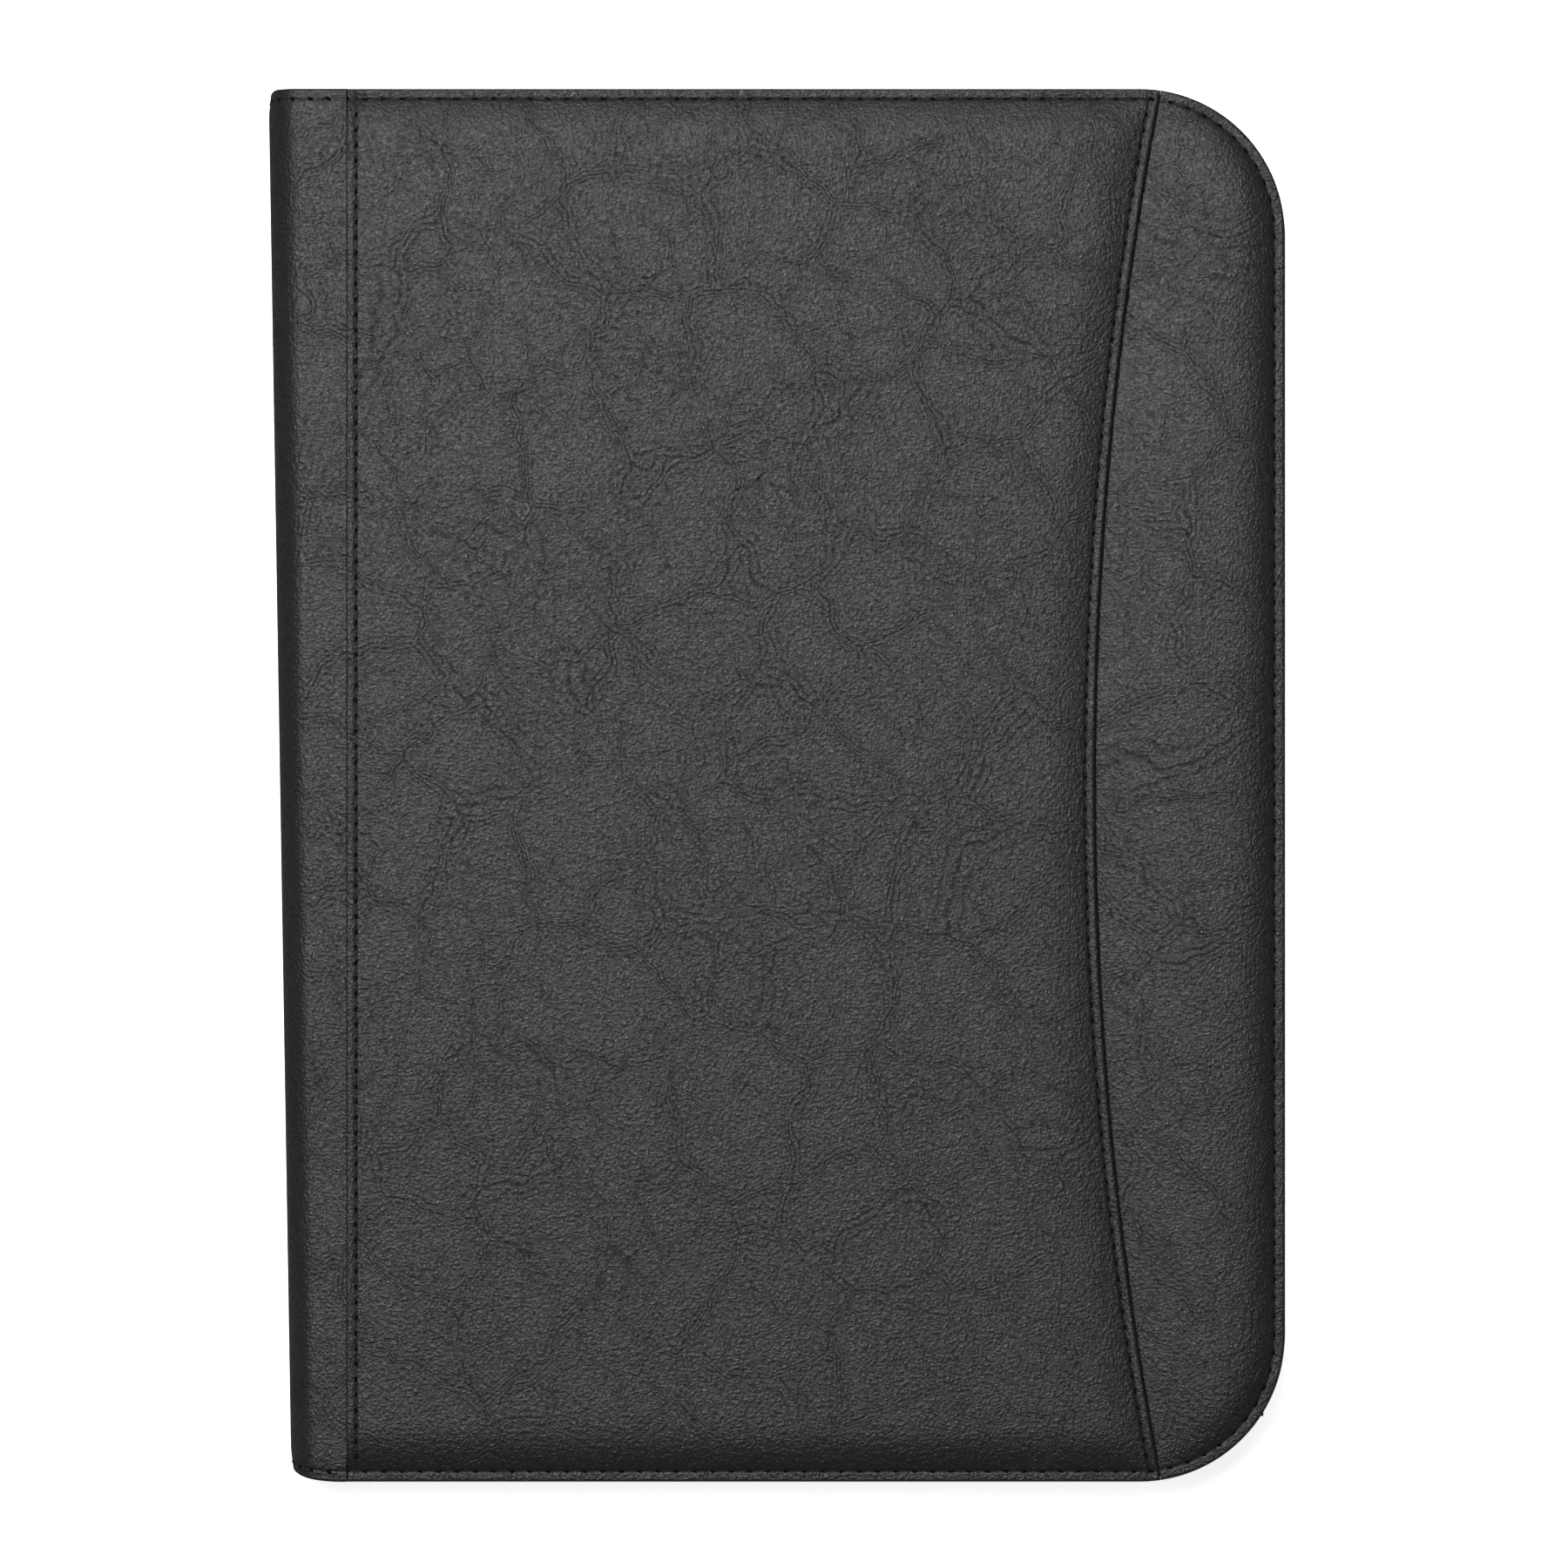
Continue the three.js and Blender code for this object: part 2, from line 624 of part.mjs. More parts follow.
const root = new THREE.Group();
piece(spine, 'spine_panel', spineLeather('spine'), grainedLeather);
piece(spine, 'spine_padding',
  layerPart('spine', corePadding, corePadding + spinePadding, spineSeam), paddingFoam);
piece(spine, 'spine_stiffener',
  layerPart('spine', coreDepth - spineStiffener, coreDepth, spineSeam), coverBoard);
piece(spine, 'spine_lining', liningPart('spine'), liningCloth);
for (const which of ['front', 'back']) {
  piece(root, `${which}_hinge_panel`, spineLeather(which), grainedLeather);
  piece(root, `${which}_hinge_padding`, layerPart(which, corePadding, coreDepth, flangeEnd), paddingFoam);
  piece(root, `${which}_hinge_lining`, liningPart(which), liningCloth);
}

// Notepad sleeve: a sheet sewn down on three sides, open towards the head
const padFoot = -padHeight / 2;
const sleeveMouth = padFoot + sleeveDepth;

function notepadSleeve() {
  const outer = block([padLeft - sleeveHem - clearance, padFoot - sleeveHem - clearance, backInner],
    [padRight + sleeveHem + clearance, sleeveMouth, sleeveTop]);
  const inside = block([padLeft - clearance, padFoot - clearance, backInner - overrun],
    [padRight + clearance, sleeveMouth + overrun, sleeveTop - sleeveSheet]);
  return cut(outer, inside);
}
piece(root, 'notepad_sleeve', notepadSleeve(), liningCloth);

// Pen loop: an elastic band bent to a loop over its sewn tab
function penLoop() {
  const outerRadius = penBore / 2 + loopSheet;
  const x = padLeft - sleeveHem - clearance - loopGap - outerRadius;
  const z = backInner + outerRadius;
  const circle = (radius) => alongArc(x, z, radius, 0, 2 * Math.PI, 2 * cornerSteps).map((p) => [p.x, p.y]);
  const head = loopFootY + loopLength;
  const ring = solid(prismAlongY(circle(outerRadius), loopFootY, head));
  const tab = solid(block(
    [x - loopTab / 2, loopFootY, backInner],
    [x + loopTab / 2, head, backInner + loopSheet],
  ));
  return ring.add(tab).subtract(solid(prismAlongY(circle(penBore / 2), loopFootY - overrun, head + overrun)));
}
piece(root, 'pen_loop', penLoop(), elasticBand);

// Notepad: the backing card in the sleeve, the paper in front of it, and the binding at the head
const notepad = new THREE.Group();
const cardTop = backInner + cardThickness;
const padHead = padFoot + padHeight;

function paperBlock() {
  const step = sleeveMouth + clearance;
  const profile = [[padFoot, paperFoot], [step, paperFoot], [step, cardTop], [padHead, cardTop],
    [padHead, paperTop], [padFoot, paperTop]];
  return prismAlongY(profile, -padWidth / 2, padWidth / 2)
    .rotateZ(Math.PI / 2)
    .translate((padLeft + padRight) / 2, 0, 0);
}

function headBinding() {
  const profile = [[padHead - bindingFlap, paperTop], [padHead, paperTop], [padHead, backInner],
    [padHead + bindingSheet, backInner], [padHead + bindingSheet, paperTop + bindingSheet],
    [padHead - bindingFlap, paperTop + bindingSheet]];
  return prismAlongY(profile, -padWidth / 2, padWidth / 2)
    .rotateZ(Math.PI / 2)
    .translate((padLeft + padRight) / 2, 0, 0);
}

piece(notepad, 'notepad_card', block([padLeft, padFoot, backInner], [padRight, padHead, cardTop]), padCard);
piece(notepad, 'notepad_paper', paperBlock(), paper);
piece(notepad, 'notepad_binding', headBinding(), bindingTape);

const portfolio = new THREE.Group();
portfolio.name = 'document_portfolio';
portfolio.add(backCover, frontCover, spine, root, notepad);
export default portfolio;
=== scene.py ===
import math
import random

import bmesh
import bpy
from mathutils import Matrix, Vector, kdtree, noise


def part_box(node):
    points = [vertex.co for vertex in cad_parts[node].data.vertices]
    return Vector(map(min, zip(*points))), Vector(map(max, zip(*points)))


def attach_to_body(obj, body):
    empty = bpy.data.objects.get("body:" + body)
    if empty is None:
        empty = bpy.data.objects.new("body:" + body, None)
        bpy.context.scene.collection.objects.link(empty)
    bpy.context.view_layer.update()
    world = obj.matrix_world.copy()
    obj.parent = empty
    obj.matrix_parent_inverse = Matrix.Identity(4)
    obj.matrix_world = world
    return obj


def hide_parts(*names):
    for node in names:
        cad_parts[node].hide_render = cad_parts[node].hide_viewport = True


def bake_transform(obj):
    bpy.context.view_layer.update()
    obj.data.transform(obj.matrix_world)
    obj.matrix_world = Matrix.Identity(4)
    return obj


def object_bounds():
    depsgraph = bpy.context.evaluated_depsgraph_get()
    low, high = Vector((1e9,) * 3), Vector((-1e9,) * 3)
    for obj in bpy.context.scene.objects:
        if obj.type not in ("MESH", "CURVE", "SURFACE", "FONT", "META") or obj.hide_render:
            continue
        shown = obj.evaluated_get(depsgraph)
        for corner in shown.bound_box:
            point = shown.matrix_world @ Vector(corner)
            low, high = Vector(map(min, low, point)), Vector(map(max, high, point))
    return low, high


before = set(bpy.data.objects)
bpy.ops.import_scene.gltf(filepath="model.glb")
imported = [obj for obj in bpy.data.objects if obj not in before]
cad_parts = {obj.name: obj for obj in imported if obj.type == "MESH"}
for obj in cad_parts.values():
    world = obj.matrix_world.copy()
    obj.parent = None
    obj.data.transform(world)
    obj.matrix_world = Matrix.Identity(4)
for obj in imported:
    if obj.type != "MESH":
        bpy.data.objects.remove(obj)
solid_low, solid_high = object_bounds()
mm = 0.001

# Measures taken from the solids
half_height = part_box("front_main_panel")[1].y
spine_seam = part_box("front_main_panel")[0].x
front_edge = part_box("front_end_panel")[1].x
back_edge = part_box("back_panel")[1].x
front_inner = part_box("front_lining")[0].z
back_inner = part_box("back_lining")[1].z
middle = (solid_low.z + solid_high.z) / 2
cover_thickness = solid_high.z - front_inner

# Measures of the covers' making, the same as the solids have
corner_radius = 35 * mm
rim_level = 3.2 * mm
edge_rounding = 0.6 * mm
stitch_inset = 2.5 * mm
pad_slope = 11 * mm
channel_depth = 0.24 * mm
end_edge_shape = 14 * mm, 3.4
end_seam_shape = 24 * mm, 1.4
lining_sheet = 0.6 * mm
board_top = 2.65 * mm
turned_width = 4.2 * mm
lining_inset = 1.2 * mm
seam_gap = 0.05 * mm
full_drop = cover_thickness - rim_level

lap_middle = front_edge - 45.7 * mm
lap_sagitta = 15.7 * mm
lap_half_chord = half_height - stitch_inset / 2
lap_radius = (lap_half_chord ** 2 + lap_sagitta ** 2) / (2 * lap_sagitta)
lap_centre = lap_middle + lap_radius
lap_drop = 1.6 * mm
end_seam_drop = 2.4 * mm
spine_seam_drop = 0.1 * mm
lap_stitch = 2.3 * mm
spine_stitch = 2.4 * mm
spine_fold = 0.4 * mm
inner_stitch_depth = 0.36 * mm

# The spine strip, which reaches further out at the head than at the foot
reach_head, reach_foot = 19.2 * mm, 13.7 * mm
bulge_head, bulge_foot = 7.7 * mm, 6.5 * mm
head_corner = 2.5 * mm
foot_corner_width, foot_corner_height = 12.5 * mm, 3.5 * mm
corner_fade = 12 * mm
end_dip = 0.45 * mm
strip_depth = 1.4 * mm
flange_end = spine_seam - seam_gap

# Pitches of the sewing, and how the stitches and the painted shade of their holes lie in the leather
edge_pitch = 4.4 * mm
spine_pitch = 3.7 * mm
lap_pitch = 3.9 * mm
stitch_rise, stitch_slant, stitch_share, stitch_depth = 0.08 * mm, math.radians(4), 0.47, 0.2 * mm
hole_rise, hole_slant, hole_half_width = 0.12 * mm, math.radians(-32), 0.52 * mm

# Distances from a sewn edge at which the leather is shaped, closest where it turns and dips
near_stops = [s * mm for s in (0, 0.15, 0.4, 0.7, 1.1, 1.5, 1.9, 2.2, 2.4, 2.6, 2.9, 3.4, 4.2, 5.2, 6.4,
                               7.8, 9.4, 11.2, 13.5)]
plain_stops = [s * mm for s in (0, 1, 3, 7)]

# How many steps the outlines take between those stops
main_across, main_along = 150, 300
end_fore, end_along = 230, 312
back_across, corner_steps = 170, 56


# Small helpers
def stops_along(length, steps, near):
    """Places along a length without its far end, closer together at both ends."""
    last = near[-1]
    between = [last + (length - 2 * last) * k / steps for k in range(1, steps)]
    return near + between + [length - s for s in reversed(near[1:])]


def along_edge(a, b, steps, near):
    a, b = Vector(a), Vector(b)
    length = (b - a).length
    return [a.lerp(b, s / length) for s in stops_along(length, steps, near)]


def on_circle(x, y, radius, angle):
    return Vector((x + radius * math.cos(angle), y + radius * math.sin(angle)))


def along_arc(x, y, radius, start, end, steps):
    return [on_circle(x, y, radius, start + (end - start) * k / steps) for k in range(steps)]


def along_lap(radius, y, steps, near, upwards):
    sign = 1 if upwards else -1
    heights = [sign * (s - y) for s in stops_along(2 * y, steps, near)]
    return [Vector((lap_centre - math.sqrt(radius ** 2 - h ** 2), h)) for h in heights]


def lap_at(y, radius=lap_radius):
    return lap_centre - math.sqrt(radius ** 2 - y ** 2)


def corner_fall(x):
    """How far the cover's rounded corner falls back from the straight edge at x."""
    past = max(x - front_edge + corner_radius, 0)
    return corner_radius - math.sqrt(corner_radius ** 2 - past ** 2)


def corner_drop(p):
    return Vector((p.x, math.copysign(abs(p.y) - corner_fall(p.x), p.y)))


def main_ring(inset):
    """Outline of the front main panel, inset all round. Each point says whether it lies on a seam."""
    y, radius = half_height - inset, lap_radius + inset
    left, right = spine_seam + inset, lap_at(y, radius)
    foot = [corner_drop(p) for p in along_edge((left, -y), (right, -y), main_across, near_stops)]
    lap = along_lap(radius, y - corner_fall(right), main_along, near_stops, True)
    head = [corner_drop(p) for p in along_edge((right, y), (left, y), main_across, near_stops)]
    spine = along_edge((left, y), (left, -y), main_along, near_stops)
    halves = marked(foot, lap), marked(head, spine)
    return halves[0][0] + halves[1][0], halves[0][1] + halves[1][1]


def end_ring(inset):
    """Outline of the front end panel, between the curved seam and the fore edge."""
    x, y, r = front_edge - corner_radius, half_height - corner_radius, corner_radius - inset
    lap = lap_radius - seam_gap - inset
    apart, lean = math.hypot(lap_centre - x, y), math.atan2(y, lap_centre - x)
    at_corner = math.acos((apart ** 2 + r ** 2 - lap ** 2) / (2 * apart * r)) - lean
    tip = lap * math.sin(math.acos((apart ** 2 + lap ** 2 - r ** 2) / (2 * apart * lap)) + lean)
    fore = (along_arc(x, -y, r, -at_corner, 0, corner_steps)
            + along_edge((front_edge - inset, -y), (front_edge - inset, y), end_fore, plain_stops)
            + along_arc(x, y, r, 0, at_corner, corner_steps))
    seam = along_lap(lap, tip, end_along, near_stops, False)
    return marked(fore, seam)


def cover_ring(inset, right, across=back_across, along=290, corner=corner_steps, near=near_stops,
               left_inset=None):
    """Outline of a whole cover, from the spine seam to its fore edge."""
    left = spine_seam + (inset if left_inset is None else left_inset)
    x, y, r = right - corner_radius, half_height - corner_radius, corner_radius - inset
    outer = half_height - inset
    edge = (along_edge((left, -outer), (x, -outer), across, near)
            + along_arc(x, -y, r, -math.pi / 2, 0, corner)
            + along_edge((right - inset, -y), (right - inset, y), along, plain_stops)
            + along_arc(x, y, r, 0, math.pi / 2, corner)
            + along_edge((x, outer), (left, outer), across, near))
    seam = along_edge((left, outer), (left, -outer), along - 30, near)
    return marked(edge, seam)


def marked(edge, seam):
    """The points of an outline, and for each whether it lies on a seam."""
    return edge + seam, [False] * len(edge) + [True] * len(seam)


def lofted(rings, hollow=False):
    """A closed skin through rings of equally many points, on a grid rolled up into a tube."""
    count, rows = len(rings[0]), len(rings)
    bm = bmesh.new()
    bmesh.ops.create_grid(bm, x_segments=count, y_segments=rows - 1, size=1)
    bm.verts.ensure_lookup_table()
    for row, ring in enumerate(rings):
        for k in range(count + 1):
            bm.verts[row * (count + 1) + k].co = ring[k % count]
    bmesh.ops.remove_doubles(bm, verts=bm.verts, dist=1e-7)
    if not hollow:
        rims = [e for e in bm.edges if e.is_boundary]
        filled = bmesh.ops.holes_fill(bm, edges=rims, sides=0)["faces"]
        bmesh.ops.triangulate(bm, faces=filled)
    return bm


def make_piece(name, bm, material, body=None, replaced=(), sharp=50):
    bmesh.ops.recalc_face_normals(bm, faces=bm.faces)
    mesh = bpy.data.meshes.new(name)
    bm.to_mesh(mesh)
    bm.free()
    mesh.polygons.foreach_set("use_smooth", [True] * len(mesh.polygons))
    mesh.set_sharp_from_angle(angle=math.radians(sharp))
    mesh.materials.append(material)
    piece = bpy.data.objects.new(name, mesh)
    bpy.context.scene.collection.objects.link(piece)
    if replaced:
        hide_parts(*replaced)
    if body:
        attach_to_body(piece, body)
    return piece


# Materials
def linear(hex_colour):
    channels = [int(hex_colour[k:k + 2], 16) / 255 for k in (1, 3, 5)]
    return [c / 12.92 if c <= 0.04045 else ((c + 0.055) / 1.055) ** 2.4 for c in channels] + [1]


def add_node(material, kind, inputs=None, **settings):
    node = material.node_tree.nodes.new("ShaderNode" + kind)
    for name, value in settings.items():
        setattr(node, name, value)
    for name, value in (inputs or {}).items():
        if isinstance(value, bpy.types.NodeSocket):
            material.node_tree.links.new(value, node.inputs[name])
        else:
            node.inputs[name].default_value = value
    return node


def new_material(name, roughness, specular):
    material = bpy.data.materials.new(name)
    material.use_nodes = True
    shader = material.node_tree.nodes["Principled BSDF"]
    shader.inputs["Roughness"].default_value = roughness
    shader.inputs["Specular IOR Level"].default_value = specular
    return material, shader, add_node(material, "TexCoord").outputs["Object"]


def between(material, factor, first, second):
    """A mix of two colours, each given as hex or as a socket."""
    ends = [linear(end) if isinstance(end, str) else end for end in (first, second)]
    return add_node(material, "Mix", {0: factor, 6: ends[0], 7: ends[1]}, data_type="RGBA").outputs[2]


def noise_of(material, place, scale, detail=2, roughness=0.5, output="Fac"):
    inputs = {"Vector": place, "Scale": scale, "Detail": detail, "Roughness": roughness}
    return add_node(material, "TexNoise", inputs).outputs[output]


def wave_of(material, place, scale, direction, distortion=0, detail=2):
    inputs = {"Vector": place, "Scale": scale, "Distortion": distortion, "Detail": detail}
    return add_node(material, "TexWave", inputs, bands_direction=direction).outputs["Fac"]


def calculate(material, operation, *values, **settings):
    return add_node(material, "Math", dict(enumerate(values)), operation=operation, **settings).outputs[0]


def ranged(material, value, low, high, to_low=0, to_high=1, smooth=False):
    inputs = {"Value": value, "From Min": low, "From Max": high, "To Min": to_low, "To Max": to_high}
    kind = "SMOOTHSTEP" if smooth else "LINEAR"
    return add_node(material, "MapRange", inputs, interpolation_type=kind).outputs[0]


def moved(material, place, noise_colour, reach):
    inputs = {0: noise_colour, 1: reach, 2: place}
    return add_node(material, "VectorMath", inputs, operation="MULTIPLY_ADD").outputs[0]


def stretched(material, place, scale):
    return add_node(material, "Mapping", {"Vector": place, "Scale": scale}).outputs[0]


def bump_of(material, height, strength, distance, over=None, invert=False):
    inputs = {"Height": height, "Strength": strength, "Distance": distance}
    if over:
        inputs["Normal"] = over
    return add_node(material, "Bump", inputs, invert=invert).outputs[0]


def attach(material, shader, colour=None, roughness=None, normal=None):
    for socket, value in (("Base Color", colour), ("Roughness", roughness), ("Normal", normal)):
        if value is not None:
            material.node_tree.links.new(value, shader.inputs[socket])
    return material


def embossed_leather():
    """PU leather, embossed with a fine grain of about 0.8 mm under a semi-matte top coat. Bundles of fine
    creases run along the borders of soft pillows of 10 to 30 mm, with shade painted into them."""
    m, shader, place = new_material("embossed_pu_leather", 0.5, 0.5)
    jitter = noise_of(m, place, 700, output="Color")
    small_sway = noise_of(m, place, 260, detail=3, output="Color")
    patches = noise_of(m, place, 34)
    gaps = noise_of(m, place, 420)
    broken = ranged(m, gaps, 0.34, 0.52, 0.4, 1, smooth=True)
    bundles = []
    # pillow, width of the bundle, sway of the border, spacing of the lines, and the patches that show them
    large = 27 * mm, 4.2 * mm, 17 * mm, 1.15 * mm, 0.27, 0.55
    small = 13 * mm, 2.4 * mm, 10 * mm, 0.9 * mm, 0.66, 0.42
    for size, reach, sway_size, spacing, first, last in (large, small):
        sway = noise_of(m, place, 1 / sway_size, output="Color")
        swayed = moved(m, place, sway, (sway_size, sway_size, 0))
        wavering = moved(m, swayed, small_sway, (1.7 * mm, 1.7 * mm, 0))
        cells = {"Vector": wavering, "Scale": 1 / size}
        border = add_node(m, "TexVoronoi", cells, feature="DISTANCE_TO_EDGE").outputs[0]
        across = calculate(m, "PINGPONG", border, spacing / 2 / size)
        line = ranged(m, across, 0, 0.28 * spacing / size, 1, 0, smooth=True)
        near = ranged(m, border, 0, reach / size, 1, 0)
        shown = ranged(m, patches, first, last, smooth=True)
        faded = calculate(m, "MULTIPLY", line, near)
        kept = calculate(m, "MULTIPLY", shown, broken)
        bundles.append(calculate(m, "MULTIPLY", faded, kept))
    lines = calculate(m, "MULTIPLY_ADD", bundles[1], 0.7, bundles[0])
    # pebble grain
    warp = moved(m, place, jitter, (0.9 * mm, 0.9 * mm, 0.9 * mm))
    cells = {"Vector": warp, "Scale": 1300, "Smoothness": 0.6}
    pebble = add_node(m, "TexVoronoi", cells, feature="SMOOTH_F1").outputs[0]
    across, upward = stretched(m, warp, (0.42, 1.3, 1)), stretched(m, warp, (1.3, 0.42, 1))
    fine_across = noise_of(m, across, 1600, detail=3, roughness=0.6)
    fine_upward = noise_of(m, upward, 1600, detail=3, roughness=0.6)
    fine = calculate(m, "ADD", fine_across, fine_upward)
    grain = calculate(m, "MULTIPLY_ADD", pebble, -0.9, fine)
    grain_bump = bump_of(m, grain, 0.85, 0.00021)
    crease_bump = bump_of(m, lines, 0.6, 0.00015, over=grain_bump, invert=True)
    # colour: a soft mottle, with painted shade in the creases and between the pebbles
    mottle = noise_of(m, place, 140, detail=5, roughness=0.65)
    face = between(m, mottle, "#19191a", "#212122")
    pits = ranged(m, grain, 0.75, 0.1, 0, 0.95)
    # painted shade: the creases and the grain's pits are mixed towards near black #080809
    dark = calculate(m, "MULTIPLY_ADD", lines, 0.55, pits, use_clamp=True)
    colour = between(m, dark, face, "#080809")
    dull = calculate(m, "MULTIPLY_ADD", lines, 0.25, 0.325)
    gloss = calculate(m, "MULTIPLY_ADD", pits, 0.3, dull, use_clamp=True)
    return attach(m, shader, colour, gloss, crease_bump)


def lining_weave():
    """Polyester lining in plain weave, its threads drawn 1 mm apart, coarser than the real 0.3 mm so that
    they show. Slubs run along both threads, the cloth has a faint sheen and it puckers softly over what
    it covers."""
    m, shader, place = new_material("woven_polyester_lining", 0.72, 0.3)
    shader.inputs["Sheen Weight"].default_value = 0.3
    shader.inputs["Sheen Roughness"].default_value = 0.4
    threads = []
    for direction, stretch in (("X", (1, 0.07, 1)), ("Y", (0.07, 1, 1))):
        wave = wave_of(m, place, 320, direction, distortion=0.6, detail=1)
        slub = noise_of(m, stretched(m, place, stretch), 900)
        threads.append(calculate(m, "MULTIPLY_ADD", slub, 1.2, wave))
    height = calculate(m, "MULTIPLY", threads[0], threads[1])
    weave_bump = bump_of(m, height, 0.6, 0.0001)
    pucker = noise_of(m, place, 24)
    bump = bump_of(m, pucker, 0.6, 0.002, over=weave_bump)
    shade = ranged(m, height, 0.4, 2)
    colour = between(m, shade, "#151517", "#3c3c40")
    return attach(m, shader, colour, None, bump)


def spun_thread():
    """Black spun polyester sewing thread of about 0.4 mm, a little fuzzy, so it has a dull sheen."""
    m, shader, place = new_material("spun_polyester_thread", 0.6, 0.4)
    ply = wave_of(m, place, 900, "DIAGONAL", distortion=1.5)
    bump = bump_of(m, ply, 0.5, 0.00006)
    colour = between(m, ply, "#0b0b0c", "#1d1d1e")
    return attach(m, shader, colour, None, bump)


def needle_shadow():
    """Painted shade for the needle's holes in the leather: near black, unlit, rough inside."""
    m, shader, place = new_material("painted_hole_shade", 0.95, 0.1)
    fuzz = noise_of(m, place, 3000)
    colour = between(m, fuzz, "#030303", "#0a0a0a")
    return attach(m, shader, colour)


def grey_board():
    """Pressed grey board: matt, with pale and dark fibres."""
    m, shader, place = new_material("pressed_grey_board", 0.9, 0.2)
    fibre = noise_of(m, place, 900, detail=6, roughness=0.7)
    colour = between(m, fibre, "#7c776d", "#9a958a")
    bump = bump_of(m, fibre, 0.3, 0.00005)
    return attach(m, shader, colour, None, bump)


def kraft_card():
    """Kraft card behind the pad: brown pulp with short darker fibres."""
    m, shader, place = new_material("kraft_card", 0.85, 0.25)
    fibre = noise_of(m, stretched(m, place, (1, 4, 1)), 420, detail=6, roughness=0.72)
    colour = between(m, fibre, "#a8865a", "#c9ab80")
    bump = bump_of(m, fibre, 0.25, 0.00005)
    return attach(m, shader, colour, None, bump)


def ruled_paper():
    """Uncoated writing paper, white with a faint tooth, printed with thin grey-blue rules 16 mm apart."""
    m, shader, place = new_material("uncoated_writing_paper", 0.8, 0.3)
    tooth = noise_of(m, place, 1400, detail=4)
    paper = between(m, tooth, "#eeece5", "#faf9f5")
    along = add_node(m, "SeparateXYZ", {0: place}).outputs["Y"]
    from_rule = calculate(m, "PINGPONG", along, 8 * mm)
    rule = calculate(m, "LESS_THAN", from_rule, 0.12 * mm)
    upright = add_node(m, "SeparateXYZ", {0: add_node(m, "NewGeometry").outputs["Normal"]}).outputs["Z"]
    on_face = calculate(m, "GREATER_THAN", upright, 0.9)
    below_head = calculate(m, "LESS_THAN", along, 112 * mm)
    masked = calculate(m, "MULTIPLY", rule, on_face)
    printed = calculate(m, "MULTIPLY", masked, below_head)
    colour = between(m, printed, paper, "#8f9fb3")
    bump = bump_of(m, tooth, 0.15, 0.00003)
    return attach(m, shader, colour, None, bump)


def binding_cloth():
    """Book cloth glued over the pad's head: fine dark weave, slightly glossy from the size in it."""
    m, shader, place = new_material("book_cloth_binding", 0.55, 0.4)
    warp = wave_of(m, place, 420, "X")
    weft = wave_of(m, place, 420, "Y")
    weave = calculate(m, "MAXIMUM", warp, weft)
    colour = between(m, weave, "#17181d", "#2b2d36")
    bump = bump_of(m, weave, 0.4, 0.00006)
    return attach(m, shader, colour, None, bump)


def ribbed_elastic():
    """Woven elastic: covered rubber cords 2 mm apart that run round the loop, with a matt yarn face."""
    m, shader, place = new_material("woven_elastic", 0.8, 0.25)
    cords = wave_of(m, place, 160, "Y")
    yarn = noise_of(m, place, 1600, detail=3)
    height = calculate(m, "MULTIPLY_ADD", yarn, 0.3, cords)
    colour = between(m, height, "#0f0f10", "#232324")
    bump = bump_of(m, height, 0.7, 0.0002)
    return attach(m, shader, colour, None, bump)


def lit_board(name, dark, pale, glow):
    """Matt white board with a faint tooth, lit through from below as on a light table, so that it stays
    white. Its dim form is what the leather's rims mirror."""
    m, shader, place = new_material(name, 0.9, 0.1)
    shader.inputs["Emission Color"].default_value = (1, 1, 1, 1)
    shader.inputs["Emission Strength"].default_value = glow
    return attach(m, shader, between(m, noise_of(m, place, 60, detail=3), dark, pale))


leather, lining, thread, needle = embossed_leather(), lining_weave(), spun_thread(), needle_shadow()
card, paper, tape, elastic = kraft_card(), ruled_paper(), binding_cloth(), ribbed_elastic()
board = grey_board()


# Sewing
def spaced(path, pitch):
    """Points a stitch apart along a line of points."""
    reach = [0]
    for a, b in zip(path, path[1:]):
        reach.append(reach[-1] + (b - a).length)
    count = max(1, round(reach[-1] / pitch))
    found, k = [], 0
    for n in range(count + 1):
        target = reach[-1] * n / count
        while k < len(path) - 2 and reach[k + 1] < target:
            k += 1
        share = (target - reach[k]) / max(reach[k + 1] - reach[k], 1e-9)
        found.append(path[k].lerp(path[k + 1], min(share, 1)))
    return found


def edge_holes(edge):
    ring = cover_ring(stitch_inset, edge, left_inset=0)
    return spaced([p for p, seam in zip(*ring) if not seam], edge_pitch)


edge_holes_front, edge_holes_back = edge_holes(front_edge), edge_holes(back_edge)
seam_end = half_height - stitch_inset
spine_holes = spaced([Vector((spine_seam + spine_stitch, y)) for y in (-seam_end, seam_end)], spine_pitch)
lap_holes = spaced([Vector((lap_at(y, lap_radius + lap_stitch), y))
                    for y in (seam_end * k / 60 for k in range(-60, 61))], lap_pitch)


def hole_finder(*rows):
    points = [p for row in rows for p in row]
    tree = kdtree.KDTree(len(points))
    for k, p in enumerate(points):
        tree.insert((p.x, p.y, 0), k)
    tree.balance()
    return tree


front_holes = hole_finder(edge_holes_front, spine_holes, lap_holes)
back_holes = hole_finder(edge_holes_back, spine_holes)


def dimple(tree, x, y, depth=0.12 * mm, width=0.7 * mm, reach=3 * mm):
    """The thread pulls the leather down round each hole."""
    distance = tree.find((x, y, 0))[2]
    return depth * math.exp(-((distance / width) ** 2)) if distance < reach else 0


# Levels of the padded covers, outwards from the lining's inner face
def rise(distance, slope=pad_slope, power=2):
    t = min(max((distance - stitch_inset) / slope, 0), 1)
    return 1 - (1 - t) ** power


def channel(distance, sewn_at, before=0.2 * mm, after=0.28 * mm):
    """The groove that the thread pulls in."""
    width = before if distance < sewn_at else after
    return channel_depth * math.exp(-(((distance - sewn_at) / width) ** 2))


